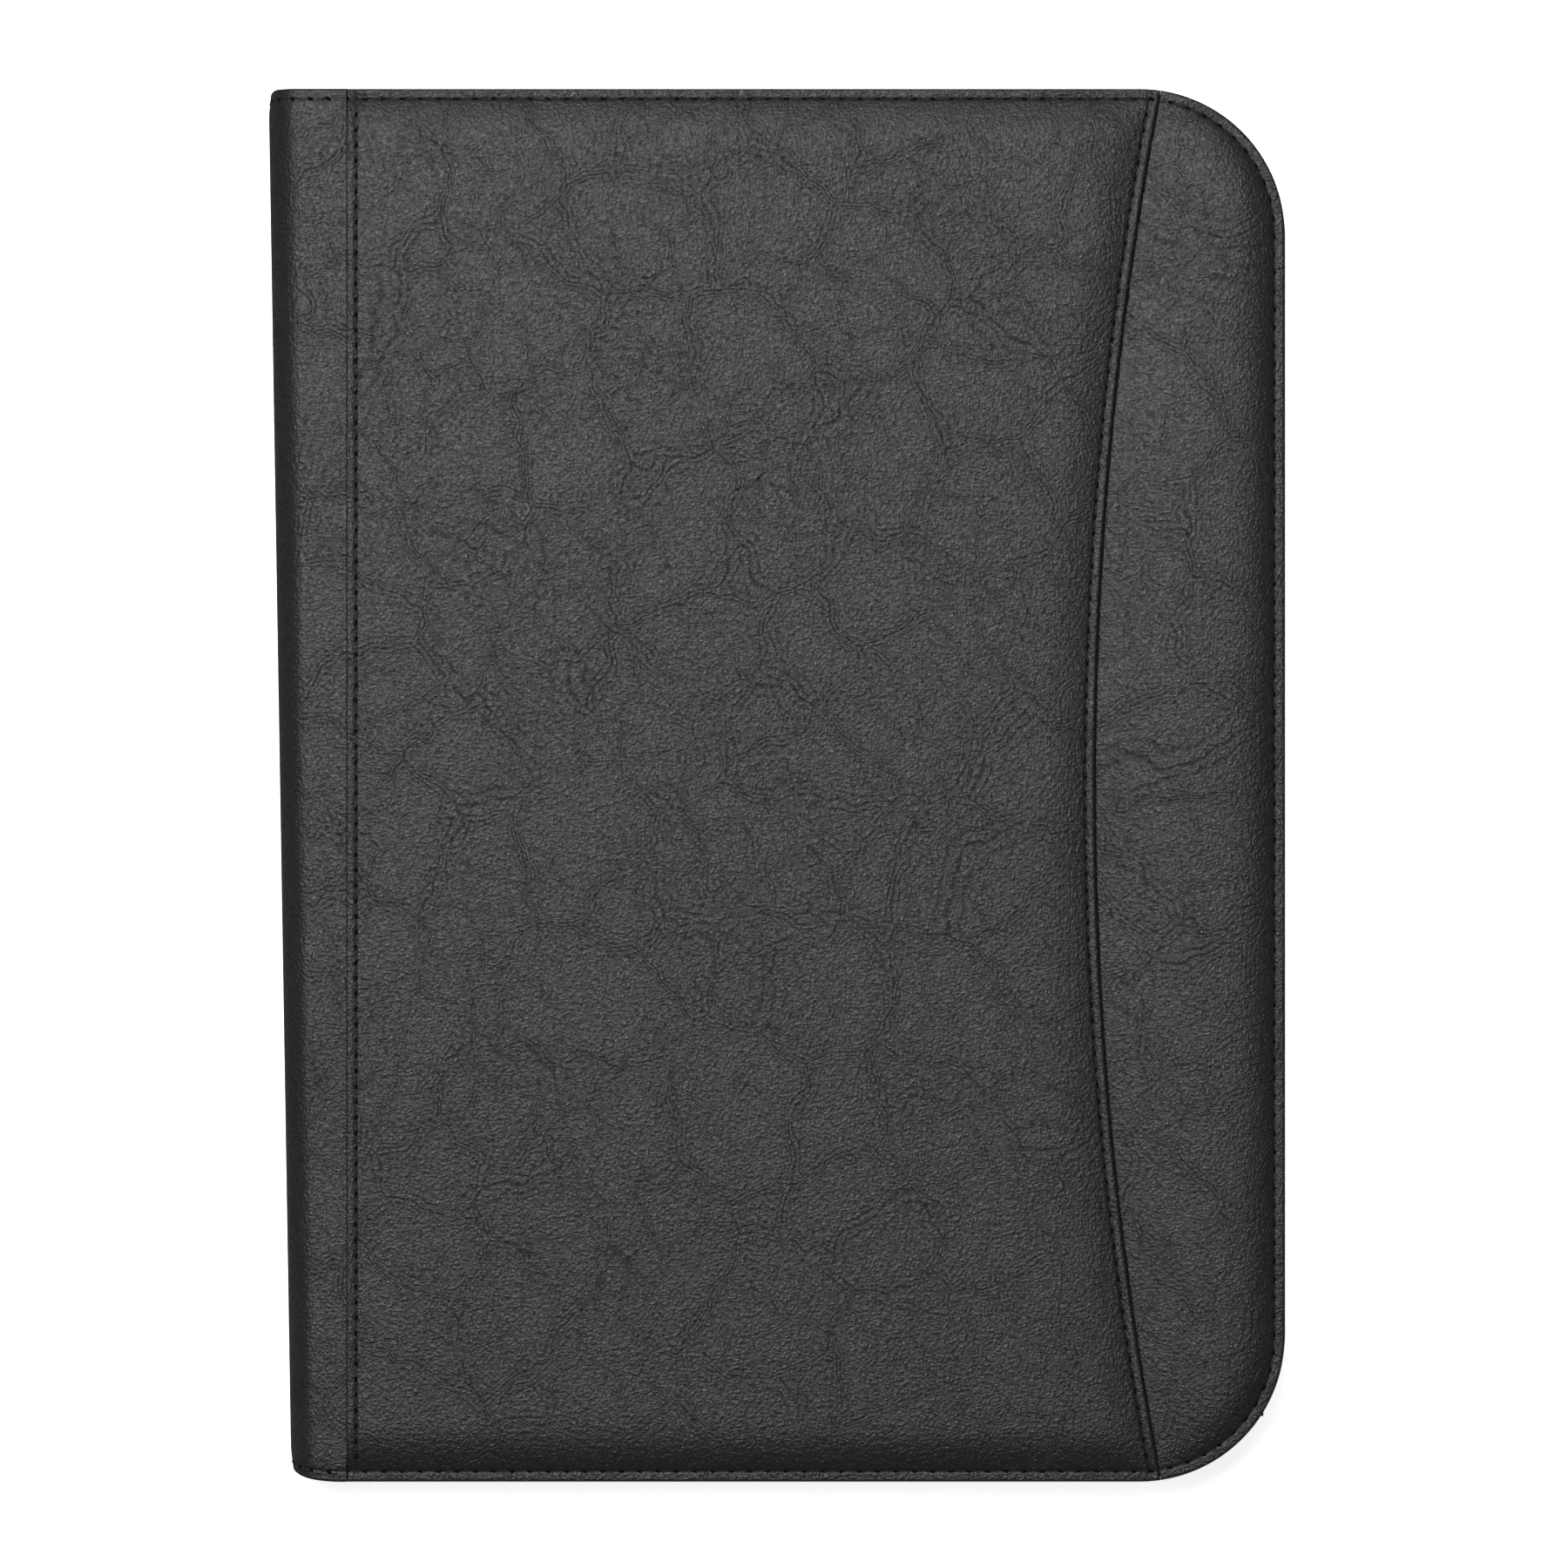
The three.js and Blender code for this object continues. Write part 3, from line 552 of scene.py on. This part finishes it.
def strip_channel(distance, sewn_at):
    """On a folded strip the groove falls slowly and ends in a steep little wall."""
    return channel(distance, sewn_at, 0.5 * mm, 0.2 * mm)


def lap_strip(distance):
    """The folded strip stands highest by its fold and leans down to its stitches."""
    t = min(max((distance - 0.7 * mm) / (lap_stitch - 0.8 * mm), 0), 1)
    return 0.24 * mm * (1 - t)


def roll(distance, width, height):
    """The soft round of a folded strip between its edge and its stitches."""
    return height * math.sin(math.pi * distance / width) if 0 < distance < width else 0


def padded_level(x, y, pulls, tree):
    kept = 1
    for distance, drop, *shape in pulls:
        kept *= 1 - drop / full_drop * (1 - rise(distance, *shape))
    pillow = noise.noise(Vector((x, y, 0)) * 38) + 0.5 * noise.noise(Vector((y, x, 3)) * 90)
    return rim_level + full_drop * kept - dimple(tree, x, y) - 0.1 * mm * (1 + pillow) * max(0, kept - 0.4)


def to_edge(x, y, right):
    dx, dy = x - (right - corner_radius), abs(y) - (half_height - corner_radius)
    if dx > 0 and dy > 0:
        return corner_radius - math.hypot(dx, dy)
    return min(right - x, half_height - abs(y))


def main_level(x, y):
    to_head, to_seam = half_height - abs(y), x - spine_seam
    to_lap = math.hypot(x - lap_centre, y) - lap_radius
    pulls = [(to_head, full_drop), (to_lap, lap_drop), (to_seam, spine_seam_drop)]
    level = padded_level(x, y, pulls, front_holes)
    level += lap_strip(to_lap) + roll(to_seam, spine_stitch, 0.08 * mm)
    level -= channel(to_head, stitch_inset) + channel(to_lap, lap_stitch)
    return level - strip_channel(to_seam, spine_stitch)


def end_level(x, y):
    distance = to_edge(x, y, front_edge)
    to_lap = lap_radius - seam_gap - math.hypot(x - lap_centre, y)
    pulls = [(distance, full_drop, *end_edge_shape), (to_lap + stitch_inset, end_seam_drop, *end_seam_shape)]
    return padded_level(x, y, pulls, front_holes) - channel(distance, stitch_inset)


def back_level(x, y):
    distance, to_seam = to_edge(x, y, back_edge), x - spine_seam
    level = padded_level(x, y, [(distance, full_drop), (to_seam, spine_seam_drop)], back_holes)
    level += roll(to_seam, spine_stitch, 0.12 * mm)
    return level - channel(distance, stitch_inset) - strip_channel(to_seam, spine_stitch)


def rounding(inset, radius=edge_rounding):
    return radius - math.sqrt(radius ** 2 - (radius - min(inset, radius)) ** 2)


def padded_cover(name, ring_at, level_at, height_at, body, replaced, steps_in, mirror, lap_fold=0.9 * mm):
    """Leather over foam: turned in round the board, up over the rounded rim, along the sewn margin and
    over the padding to the middle line. The points k and mirror - k end there at one place. On the back cover
    these places leave the line near its ends, so narrow faces overlap in two small marks.
    lap_fold is the radius of the leather's fold along the curved seam."""
    def ring(inset, level):
        points, seams = ring_at(inset)
        return [Vector((p.x, p.y, height_at(level(p, seam)))) for p, seam in zip(points, seams)]
    foot = lambda p, seam: board_top if seam else lining_sheet
    fold = lambda p, seam: (lap_fold if p.x > 0 else spine_fold) if seam else edge_rounding
    top = lambda inset: lambda p, seam: level_at(p.x, p.y) - rounding(inset, fold(p, seam))
    rings = [ring(turned_width + 0.05 * mm, lambda p, seam: board_top), ring(turned_width, foot),
             ring(0.5 * mm, foot), ring(0.13 * mm, lambda p, seam: foot(p, seam) + 0.13 * mm),
             ring(0, lambda p, seam: foot(p, seam) + 0.5 * mm)]
    insets = [s * mm for s in (0, 0.05, 0.15, 0.35, 0.65, 1.0, 1.4, 1.8, 2.1, 2.35, 2.5, 2.65, 2.9, 3.3, 4, 5,
                               6.2, 7.6, 9.2, 11.2, 13.5)]
    rings += [ring(inset, top(inset)) for inset in insets]
    inner = [Vector((p.x, p.y)) for p in rings[-1]]
    low, high = min(p.y for p in inner), max(p.y for p in inner)
    left, right = min(p.x for p in inner), max(p.x for p in inner)
    line = (high - low) / 2 - (right - left) / 2
    halfway = [(p + inner[(mirror - k) % len(inner)]) / 2 for k, p in enumerate(inner)]
    ends = [Vector((p.x, min(max(p.y, -line), line))) for p in halfway]
    for k in range(1, steps_in + 1):
        flat = [p.lerp(end, k / steps_in) for p, end in zip(inner, ends)]
        rings.append([Vector((p.x, p.y, height_at(level_at(p.x, p.y)))) for p in flat])
    piece = make_piece(name, lofted(rings), leather, body, replaced)
    return piece


front_height = lambda level: front_inner + level
back_height = lambda level: back_inner - level

foot_points = main_across + 2 * len(near_stops) - 2
back_points = back_across + 2 * len(near_stops) - 2 + corner_steps
padded_cover("front_main_leather", main_ring, main_level, front_height, "front_cover",
             ["front_main_panel", "front_main_foam"], 28, foot_points)
padded_cover("front_end_leather", end_ring, end_level, front_height, "front_cover",
             ["front_end_panel", "front_end_foam"], 6, 0, lap_fold=0.5 * mm)
padded_cover("back_leather", lambda inset: cover_ring(inset, back_edge), back_level, back_height,
             "back_cover", ["back_panel", "back_foam"], 30, back_points)


def sew(name, holes, ups, body, bend=None, thread_width=0.36 * mm, hole_length=1.75 * mm):
    """Stitches from hole to hole: each dips into the leather at its ends, and each hole, drawn as a blob of
    painted shade, lies aslant.
    """
    threads, hole_shades = bmesh.new(), bmesh.new()
    for k, (hole, up) in enumerate(zip(holes, ups)):
        after = holes[k + 1] if k + 1 < len(holes) else hole + (hole - holes[k - 1])
        along = (after - hole)
        length = along.length
        along.normalize()
        side = up.cross(along).normalized()
        turned = (Matrix((along, side, up)).transposed()).to_4x4()
        if k + 1 < len(holes):
            raised = (hole + after) / 2 + up * stitch_rise
            slant = Matrix.Rotation(stitch_slant, 4, "Z")
            size = Matrix.Diagonal((length * stitch_share, thread_width / 2, stitch_depth, 1))
            bmesh.ops.create_uvsphere(threads, u_segments=8, v_segments=5, radius=1,
                                      matrix=Matrix.Translation(raised) @ turned @ slant @ size)
        # the hole: a near-black slanted blob of painted shade, sunk into the leather
        slant = Matrix.Rotation(hole_slant, 4, "Z")
        size = Matrix.Diagonal((hole_length / 2, hole_half_width, stitch_depth, 1))
        bmesh.ops.create_uvsphere(hole_shades, u_segments=8, v_segments=4, radius=1,
                                  matrix=Matrix.Translation(hole + up * hole_rise) @ turned @ slant @ size)
    for bm, suffix, material in ((threads, "thread", thread), (hole_shades, "painted_hole_shades", needle)):
        piece = make_piece(f"{name}_{suffix}", bm, material, None if bend else body)
        if bend:
            bend_spine(piece)


def sew_on(name, points, height_at, body, up, **sizes):
    """Stitches on a face that looks up or down. height_at gives the face's z at a point."""
    holes = [Vector((p.x, p.y, height_at(p.x, p.y))) for p in points]
    sew(name, holes, [Vector((0, 0, up))] * len(holes), body, **sizes)


def sew_flat(name, points, z, body, up, **sizes):
    sew_on(name, points, lambda x, y: z, body, up, **sizes)


def front_level(x, y):
    beyond_lap = math.hypot(x - lap_centre, y) < lap_radius
    return end_level(x, y) if beyond_lap else main_level(x, y)


for row, holes, level_at in (("front_edge", edge_holes_front, front_level),
                             ("front_spine_seam", spine_holes, main_level),
                             ("front_curved_seam", lap_holes, main_level)):
    sew_on(row, holes, lambda x, y: front_height(level_at(x, y)), "front_cover", 1)
for row, holes in (("back_edge", edge_holes_back), ("back_spine_seam", spine_holes)):
    sew_on(row, holes, lambda x, y: back_height(back_level(x, y)), "back_cover", -1)
sew_flat("front_inside_edge", edge_holes_front, front_height(inner_stitch_depth), "front_cover", -1)
sew_flat("back_inside_edge", edge_holes_back, back_height(inner_stitch_depth), "back_cover", 1)


# Spine strip
def spine_quarter(y, offset, end, side):
    """Half of the strip's section at a height y: flat from the seam, then round to its outermost point."""
    t = (y + half_height) / (2 * half_height)
    bulge = bulge_foot + (bulge_head - bulge_foot) * t
    centre = spine_seam - (reach_foot + (reach_head - reach_foot) * t) + bulge
    depth = solid_high.z - strip_depth - middle - offset
    flat = [(end + (centre - end) * k / 10, middle + side * depth) for k in range(10)]
    angles = [math.pi / 2 * k / 18 for k in range(19)]
    rounded = [(centre - (bulge - offset) * math.sin(a), middle + side * depth * math.cos(a))
               for a in angles]
    return flat + rounded


def end_drop(x, at_head):
    """How far the strip's end falls back at x, towards its rounded corner."""
    outermost = spine_seam - (reach_head if at_head else reach_foot)
    width, height = (head_corner, head_corner) if at_head else (foot_corner_width, foot_corner_height)
    u = min(max((outermost + width - x) / width, 0), 1)
    return height * (1 - math.sqrt(1 - u * u))


def spine_half(name, side, near, far, end, end_inset, wall, material, replaced, sewn):
    """One half of a layer of the spine strip, swept from foot to head. Its ends are turned in and sewn."""
    foot, head = end_inset - half_height, half_height - end_inset
    loops = []
    for stop in stops_along(head - foot, 150, near_stops) + [head - foot]:
        y = foot + stop
        from_end = min(stop, head - foot - stop)
        outer = near
        inner = wall if from_end < turned_width else far
        if sewn:
            outer += (rounding(from_end) + channel(from_end, stitch_inset)
                      + end_dip * (1 - rise(from_end * 2)))
        else:
            outer += 0.2 * (far - near) * max(0, 1 - from_end / (0.4 * mm))
        curve = spine_quarter(y, outer, end, side) + spine_quarter(y, inner, end, side)[::-1]
        ring = []
        for x, z in curve:
            drop, ripple = 0, 0
            if sewn and stop < corner_fade:
                drop = end_drop(x, False) * (1 - stop / corner_fade)
            if sewn and head - y < corner_fade:
                drop = -end_drop(x, True) * (1 - (head - y) / corner_fade)
            if sewn:
                ripple = 0.06 * mm * noise.noise(Vector((x * 60, y * 240, 5)))
            ring.append(Vector((x, y + drop, z - side * abs(ripple))))
        loops.append(ring)
    return make_piece(name, lofted(loops), material, None, replaced, sharp=40)


def bend_spine(piece):
    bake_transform(piece)


def sew_spine_end(name, side, head):
    """The edge stitches that run on round the end of the spine strip."""
    inwards = -1 if head else 1
    y = inwards * (stitch_inset - half_height)
    dip = channel_depth + end_dip * (1 - rise(2 * stitch_inset))
    path = []
    for x, z in spine_quarter(y, dip, flange_end, side):
        path.append(Vector((x, y + inwards * end_drop(x, head) * (1 - stitch_inset / corner_fade), z)))
    holes = spaced(path, edge_pitch)
    ups = []
    for k in range(len(holes)):
        along = holes[min(k + 1, len(holes) - 1)] - holes[max(k - 1, 0)]
        up = Vector((0, 1, 0)).cross(along).normalized()
        ups.append(up if up.dot(Vector((-1, 0, side))) > 0 else -up)
    sew(name, holes[1:], ups[1:], None, bend=side)


leather_depth, end_wall = 2.75 * mm, 3.65 * mm
liner_near = cover_thickness - strip_depth - lining_sheet
for half, side in (("front", 1), ("back", -1)):
    strip = spine_half(f"spine_leather_{half}_half", side, 0, leather_depth, flange_end, 0, end_wall,
                       leather,
                       [f"{half}_hinge_panel", f"{half}_hinge_padding", "spine_panel", "spine_padding"], True)
    bend_spine(strip)
    liner = spine_half(f"spine_lining_{half}_half", side, liner_near, liner_near + lining_sheet,
                       flange_end + 0.15 * mm, lining_inset, liner_near + lining_sheet,
                       lining, [f"{half}_hinge_lining", "spine_lining"], False)
    bend_spine(liner)
    sew_spine_end(f"spine_{half}_head", side, True)
    sew_spine_end(f"spine_{half}_foot", side, False)


# Inside: linings, document pocket, card pockets
arc_steps, edge_steps = 8, 24


def patch_ring(left, foot, right, head, inset, foot_radius=0, head_radius=0):
    """Outline of a sewn-on patch with rounded corners, from its lower left corner on."""
    l, f, r, h = left + inset, foot + inset, right - inset, head - inset
    a, b = max(foot_radius - inset, 0.05 * mm), max(head_radius - inset, 0.05 * mm)
    quarter = math.pi / 2
    corners = [(l + a, f + a, a, 2 * quarter), (r - a, f + a, a, 3 * quarter),
               (r - b, h - b, b, 0), (l + b, h - b, b, quarter)]
    points = []
    for k, (x, y, radius, start) in enumerate(corners):
        points += along_arc(x, y, radius, start, start + quarter, arc_steps)
        begin, end = on_circle(x, y, radius, start + quarter), on_circle(*corners[(k + 1) % 4])
        points += [begin.lerp(end, n / edge_steps) for n in range(edge_steps)]
    return points


def thin_sheet(name, ring_at, low, high, material, body, replaced=(), sewn_in=None, faces_up=True):
    """A flat sheet with softly rounded edges, between two heights. A row of stitches sewn_in from its edge
    pulls a groove into the side it shows."""
    edge = min(0.25 * mm, (high - low) * 0.45)
    profile = [(2 * edge, low), (0.3 * edge, low + 0.3 * edge), (0, low + edge), (0, high - edge),
               (0.3 * edge, high - 0.3 * edge), (edge, high), (2 * edge, high)]
    if sewn_in:
        groove = [(sewn_in + out * mm, share * inner_stitch_depth) for out, share in
                  ((-0.75, 0), (-0.6, 0.3), (-0.4, 0.9), (0, 1), (0.4, 0.9), (0.6, 0.3), (0.75, 0))]
        if faces_up:
            profile += [(inset, high - depth) for inset, depth in groove]
        else:
            profile = [(inset, low + depth) for inset, depth in reversed(groove)] + profile
    rings = [[Vector((p.x, p.y, z)) for p in ring_at(inset)] for inset, z in profile]
    return make_piece(name, lofted(rings), material, body, replaced)


def box_of(node):
    low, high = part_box(node)
    return low.x, low.y, high.x, high.y, low.z, high.z


for half, edge in (("front", front_edge), ("back", back_edge)):
    low, high = box_of(f"{half}_lining")[4:]
    ring_at = lambda inset, edge=edge: cover_ring(lining_inset + inset, edge, across=30, along=60, corner=24,
                                                  near=plain_stops, left_inset=0.15 * mm + inset)[0]
    sheet = thin_sheet(f"{half}_lining_sheet", ring_at, low, high, lining, f"{half}_cover",
                       [f"{half}_lining"], stitch_inset - lining_inset, half == "back")

left, foot, right, head, low, high = box_of("document_pocket_panel")
pocket_corner, card_corner, hem_depth, hem_sheet, hem_stitch = 8 * mm, 4 * mm, 9 * mm, 0.35 * mm, 7.2 * mm
pocket_ring = lambda inset: patch_ring(left, foot, right, head, inset, pocket_corner)
pocket = thin_sheet("document_pocket", pocket_ring, low, high, lining, "front_cover",
                    ["document_pocket_panel"])
hem = thin_sheet("document_pocket_hem",
                 lambda inset: patch_ring(left, head - hem_depth, right, head + 0.5 * mm, inset),
                 low - hem_sheet, high + hem_sheet, leather, "front_cover")
hem_line = [Vector((x, head - hem_stitch)) for x in (left + 2 * mm, right - 2 * mm)]
sew_flat("document_pocket_hem", spaced(hem_line, edge_pitch), low - hem_sheet, "front_cover", -1)


def three_sides(left, foot, right, head, inset, radius):
    """The sewing line of a pocket: down one side, along the foot and up the other side."""
    ring = patch_ring(left, foot, right, head, inset, radius)
    to_head = 2 * (arc_steps + edge_steps)
    return [Vector((left + inset, head - inset))] + ring[:to_head] + [Vector((right - inset, head - inset))]


pocket_line = three_sides(left, foot, right, head - hem_depth, 2 * mm, pocket_corner)
sew_flat("document_pocket_edge", spaced(pocket_line, edge_pitch), low, "front_cover", -1)

# The gusset runs round three sides of the document pocket and folds inwards between lining and pocket
path = three_sides(left, foot, right, head, 0, pocket_corner)
gusset_fold, gusset_sheet, pocket_depth = 2 * mm, 0.4 * mm, front_inner - high
rings = []
for k, p in enumerate(path):
    ahead = (path[min(k + 1, len(path) - 1)] - path[max(k - 1, 0)]).normalized()
    inward = Vector((-ahead.y, ahead.x))
    section = [(gusset_fold * (1 - abs(2 * t / 12 - 1) ** 1.5), pocket_depth * t / 12) for t in range(13)]
    face = [(u + gusset_sheet, v) for u, v in section] + [(u, v) for u, v in reversed(section)]
    rings.append([Vector((p.x + inward.x * u, p.y + inward.y * u, front_inner - 0.02 * mm - v * 0.99))
                  for u, v in face])
gusset = make_piece("document_pocket_gusset", lofted(rings), lining, "front_cover",
                    ["pocket_gusset_spine_side", "pocket_gusset_fore_side", "pocket_gusset_foot"])

for k in (1, 2):
    left, foot, right, head, low, high = box_of(f"card_pocket_{k}")
    patch = thin_sheet(f"card_pocket_leather_{k}",
                       lambda inset: patch_ring(left, foot, right, head, inset, card_corner, 1 * mm),
                       low, high, leather, "front_cover", [f"card_pocket_{k}"])
    card_line = three_sides(left, foot, right, head, 2 * mm, card_corner)
    sew_flat(f"card_pocket_{k}_edge", spaced(card_line, spine_pitch), low, "front_cover", -1,
             thread_width=0.32 * mm, hole_length=0.9 * mm)

# Inside: notepad, its sleeve and the pen loop
left, foot, right, head, low, high = box_of("notepad_sleeve")
sleeve_sheet, sleeve_columns, sleeve_rows = 0.8 * mm, 120, 80


def sleeve_step(distance):
    """The sleeve lies flat along its seam and steps up over the pad's backing card."""
    t = min(max((distance - 1.9 * mm) / (1.6 * mm), 0), 1)
    return (high - low - sleeve_sheet) * t * t * (3 - 2 * t)


sleeve_bm = bmesh.new()
bmesh.ops.create_grid(sleeve_bm, x_segments=sleeve_columns, y_segments=sleeve_rows, size=1)
side_stops = stops_along(1, 100, [k * 0.0015 for k in range(11)]) + [1]
for vert in sleeve_bm.verts:
    u = side_stops[round((vert.co.x + 1) / 2 * sleeve_columns)]
    v = ((vert.co.y + 1) / 2) ** 1.35
    x, y = left + (right - left) * u, foot + (head - foot) * v
    rise_here = min(sleeve_step(x - left), sleeve_step(right - x), sleeve_step(y - foot))
    vert.co = Vector((x, y, low + 0.02 * mm + rise_here))
sleeve = make_piece("notepad_sleeve_cloth", sleeve_bm, lining, "back_cover",
                    ["notepad_sleeve"])
wall = sleeve.modifiers.new("sheet", "SOLIDIFY")
wall.thickness, wall.offset = sleeve_sheet - 0.04 * mm, 1
sew_flat("notepad_sleeve_edge", spaced(three_sides(left, foot, right, head, 1.3 * mm, 0), edge_pitch),
         low + sleeve_sheet, "back_cover", 1)
hem_line = [Vector((x, head - 5 * mm)) for x in (left + 4 * mm, right - 4 * mm)]
sew_flat("notepad_sleeve_hem", spaced(hem_line, edge_pitch), high, "back_cover", 1)

# Leaves of the pad: over the sleeve at the foot, and settling on to the backing card beyond its mouth
page_left, page_foot, page_right, page_head, page_low, page_top = box_of("notepad_paper")
page_step = high + 0.3 * mm
leaves = bmesh.new()
scatter = random.Random(7)
leaf_count, page_rows, settling = 13, 30, 22 * mm
for k in range(leaf_count):
    shift = Vector((scatter.uniform(-0.18, 0.12) * mm, scatter.uniform(0, 0.16) * mm))
    rings = []
    near, far = page_left + 0.2 * mm + shift.x, page_right - 0.15 * mm + shift.x
    for n in range(page_rows + 1):
        y = page_foot + (page_head - page_foot) * n / page_rows
        t = min(max((y - head) / settling, 0), 1)
        under = page_step + (page_low + 0.02 * mm - page_step) * t * t * (3 - 2 * t)
        z = [under + (page_top - under) * (k + part) / leaf_count for part in (0.02, 0.97)]
        y += shift.y if n < page_rows else 0
        corners = (near, z[0]), (far, z[0]), (far, z[1]), (near, z[1])
        rings.append([Vector((x, y, height)) for x, height in corners])
    leaf = lofted(rings)
    leaf_mesh = bpy.data.meshes.new("leaf")
    leaf.to_mesh(leaf_mesh)
    leaf.free()
    leaves.from_mesh(leaf_mesh)
    bpy.data.meshes.remove(leaf_mesh)
make_piece("notepad_leaves", leaves, paper, "notepad", ["notepad_paper"], sharp=30)

# Pen loop: a band of elastic round the pen, and its flat tab sewn to the lining
left, foot, right, head, low, high = box_of("pen_loop")
loop_sheet, loop_radius = 0.7 * mm, (high - low) / 2
loop_x, loop_z = (left + right) / 2, (low + high) / 2
inner_radius, soft = loop_radius - loop_sheet, 0.2 * mm
rib_depth, band_foot, band_head = 0.08 * mm, foot + 0.05 * mm, head - 0.05 * mm
rib_width, tab_reach = (head - foot - 2 * soft) / 24, 4.3 * mm
band = [(inner_radius + soft, band_foot), (loop_radius - soft, band_foot), (loop_radius, foot + soft)]
band += [(loop_radius - rib_depth * (k % 2), foot + soft + rib_width * k) for k in range(1, 24)]
band += [(loop_radius, head - soft), (loop_radius - soft, band_head), (inner_radius + soft, band_head),
         (inner_radius, head - soft), (inner_radius, foot + soft), (inner_radius + soft, band_foot)]
turns = [math.tau * k / 48 for k in range(48)]
rings = [[Vector((loop_x + radius * math.cos(a), y, loop_z + radius * math.sin(a))) for a in turns]
         for radius, y in band]
make_piece("pen_loop_band", lofted(rings, hollow=True), elastic, "back_cover", ["pen_loop"])
tab = [loop_x - tab_reach, foot, loop_x + tab_reach, head]
thin_sheet("pen_loop_tab", lambda inset: patch_ring(*tab, inset, 0.6 * mm, 0.6 * mm),
           low + 0.01 * mm, low + 0.5 * mm, elastic, "back_cover")

# Camera, light and floor
wall_light, ceiling_light = 0.42, 0.012
wall_top, ceiling_start = 0.14, 0.4
floor_reach, wall_radius, wall_height = 9, 9 * 0.98, 5
picture_middle, picture_width, camera_distance = (1.57 * mm, 0.31 * mm), 376.7 * mm, 3.0


def studio():
    scene = bpy.context.scene
    scene.view_settings.view_transform = "Standard"
    camera = bpy.data.objects.new("camera", bpy.data.cameras.new("camera"))
    scene.collection.objects.link(camera)
    scene.camera = camera
    camera.data.sensor_width = 36
    camera.data.lens = 36 * camera_distance / picture_width
    camera.location = (*picture_middle, solid_high.z + camera_distance)
    camera.data.clip_end = 20
    world = bpy.data.worlds.new("studio")
    world.use_nodes = True
    # The walls are pale up to 8 degrees above the horizon, so that the sides read too. From there they fade
    # into a dark ceiling at 24 degrees. wall_top and ceiling_start are the sines of these angles.
    backdrop = world.node_tree.nodes["Background"]
    backdrop.inputs["Color"].default_value = (1, 1, 1, 1)
    direction = add_node(world, "TexCoord").outputs["Generated"]
    height = add_node(world, "SeparateXYZ", {0: direction}).outputs["Z"]
    walls = ranged(world, height, wall_top, ceiling_start, wall_light, ceiling_light, smooth=True)
    world.node_tree.links.new(walls, backdrop.inputs["Strength"])
    scene.world = world
    overhead = "overhead_softbox", (-0.24, 0.4, 1.3), (-0.03, 0.08, 0), 0.85, 20
    from_head = "head_softbox", (-0.3, 1.7, 1.15), (0, 0, 0), 0.9, 6
    for name, place, aim, size, power in (overhead, from_head):
        light = bpy.data.objects.new(name, bpy.data.lights.new(name, "AREA"))
        scene.collection.objects.link(light)
        light.data.size, light.data.energy = size, power
        light.location = place
        light.rotation_euler = (Vector(aim) - Vector(place)).to_track_quat("-Z", "Y").to_euler()
        light.visible_camera = False
    # The floor itself is too bright to be mirrored in the leather's edges, so a dim copy just under it is.
    # The wall is only there to be seen behind the part from a low angle.
    seen = lit_board("lit_white_board", "#fbfbfb", "#fdfdfd", 0.85)
    mirrored = lit_board("mirrored_white_board", "#202020", "#242424", 0.12)
    for name, below, material in (("floor", 0.05 * mm, seen), ("floor_as_reflected", 1 * mm, mirrored),
                                  ("wall", 0, seen)):
        bm = bmesh.new()
        if name == "wall":
            bmesh.ops.create_cone(bm, segments=96, radius1=wall_radius, radius2=wall_radius,
                                  depth=wall_height)
            bmesh.ops.translate(bm, verts=bm.verts, vec=(0, 0, wall_height / 2 - 10 * mm))
        else:
            bmesh.ops.create_grid(bm, x_segments=8, y_segments=8, size=floor_reach)
            bmesh.ops.translate(bm, verts=bm.verts, vec=(0, 0, solid_low.z - below))
        mesh = bpy.data.meshes.new(name)
        bm.to_mesh(mesh)
        bm.free()
        mesh.materials.append(material)
        stage = bpy.data.objects.new(name, mesh)
        scene.collection.objects.link(stage)
        stage.visible_glossy = name == "floor_as_reflected"
        stage.visible_camera = name != "floor_as_reflected"
        stage.visible_diffuse = name == "floor"
        stage.visible_shadow = name == "floor"


studio()

for node, material in (("front_board", board), ("back_board", board), ("spine_stiffener", board),
                       ("notepad_card", card), ("notepad_binding", tape)):
    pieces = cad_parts[node]
    for piece in pieces if isinstance(pieces, list) else [pieces]:
        for slot in piece.material_slots:
            slot.material = material
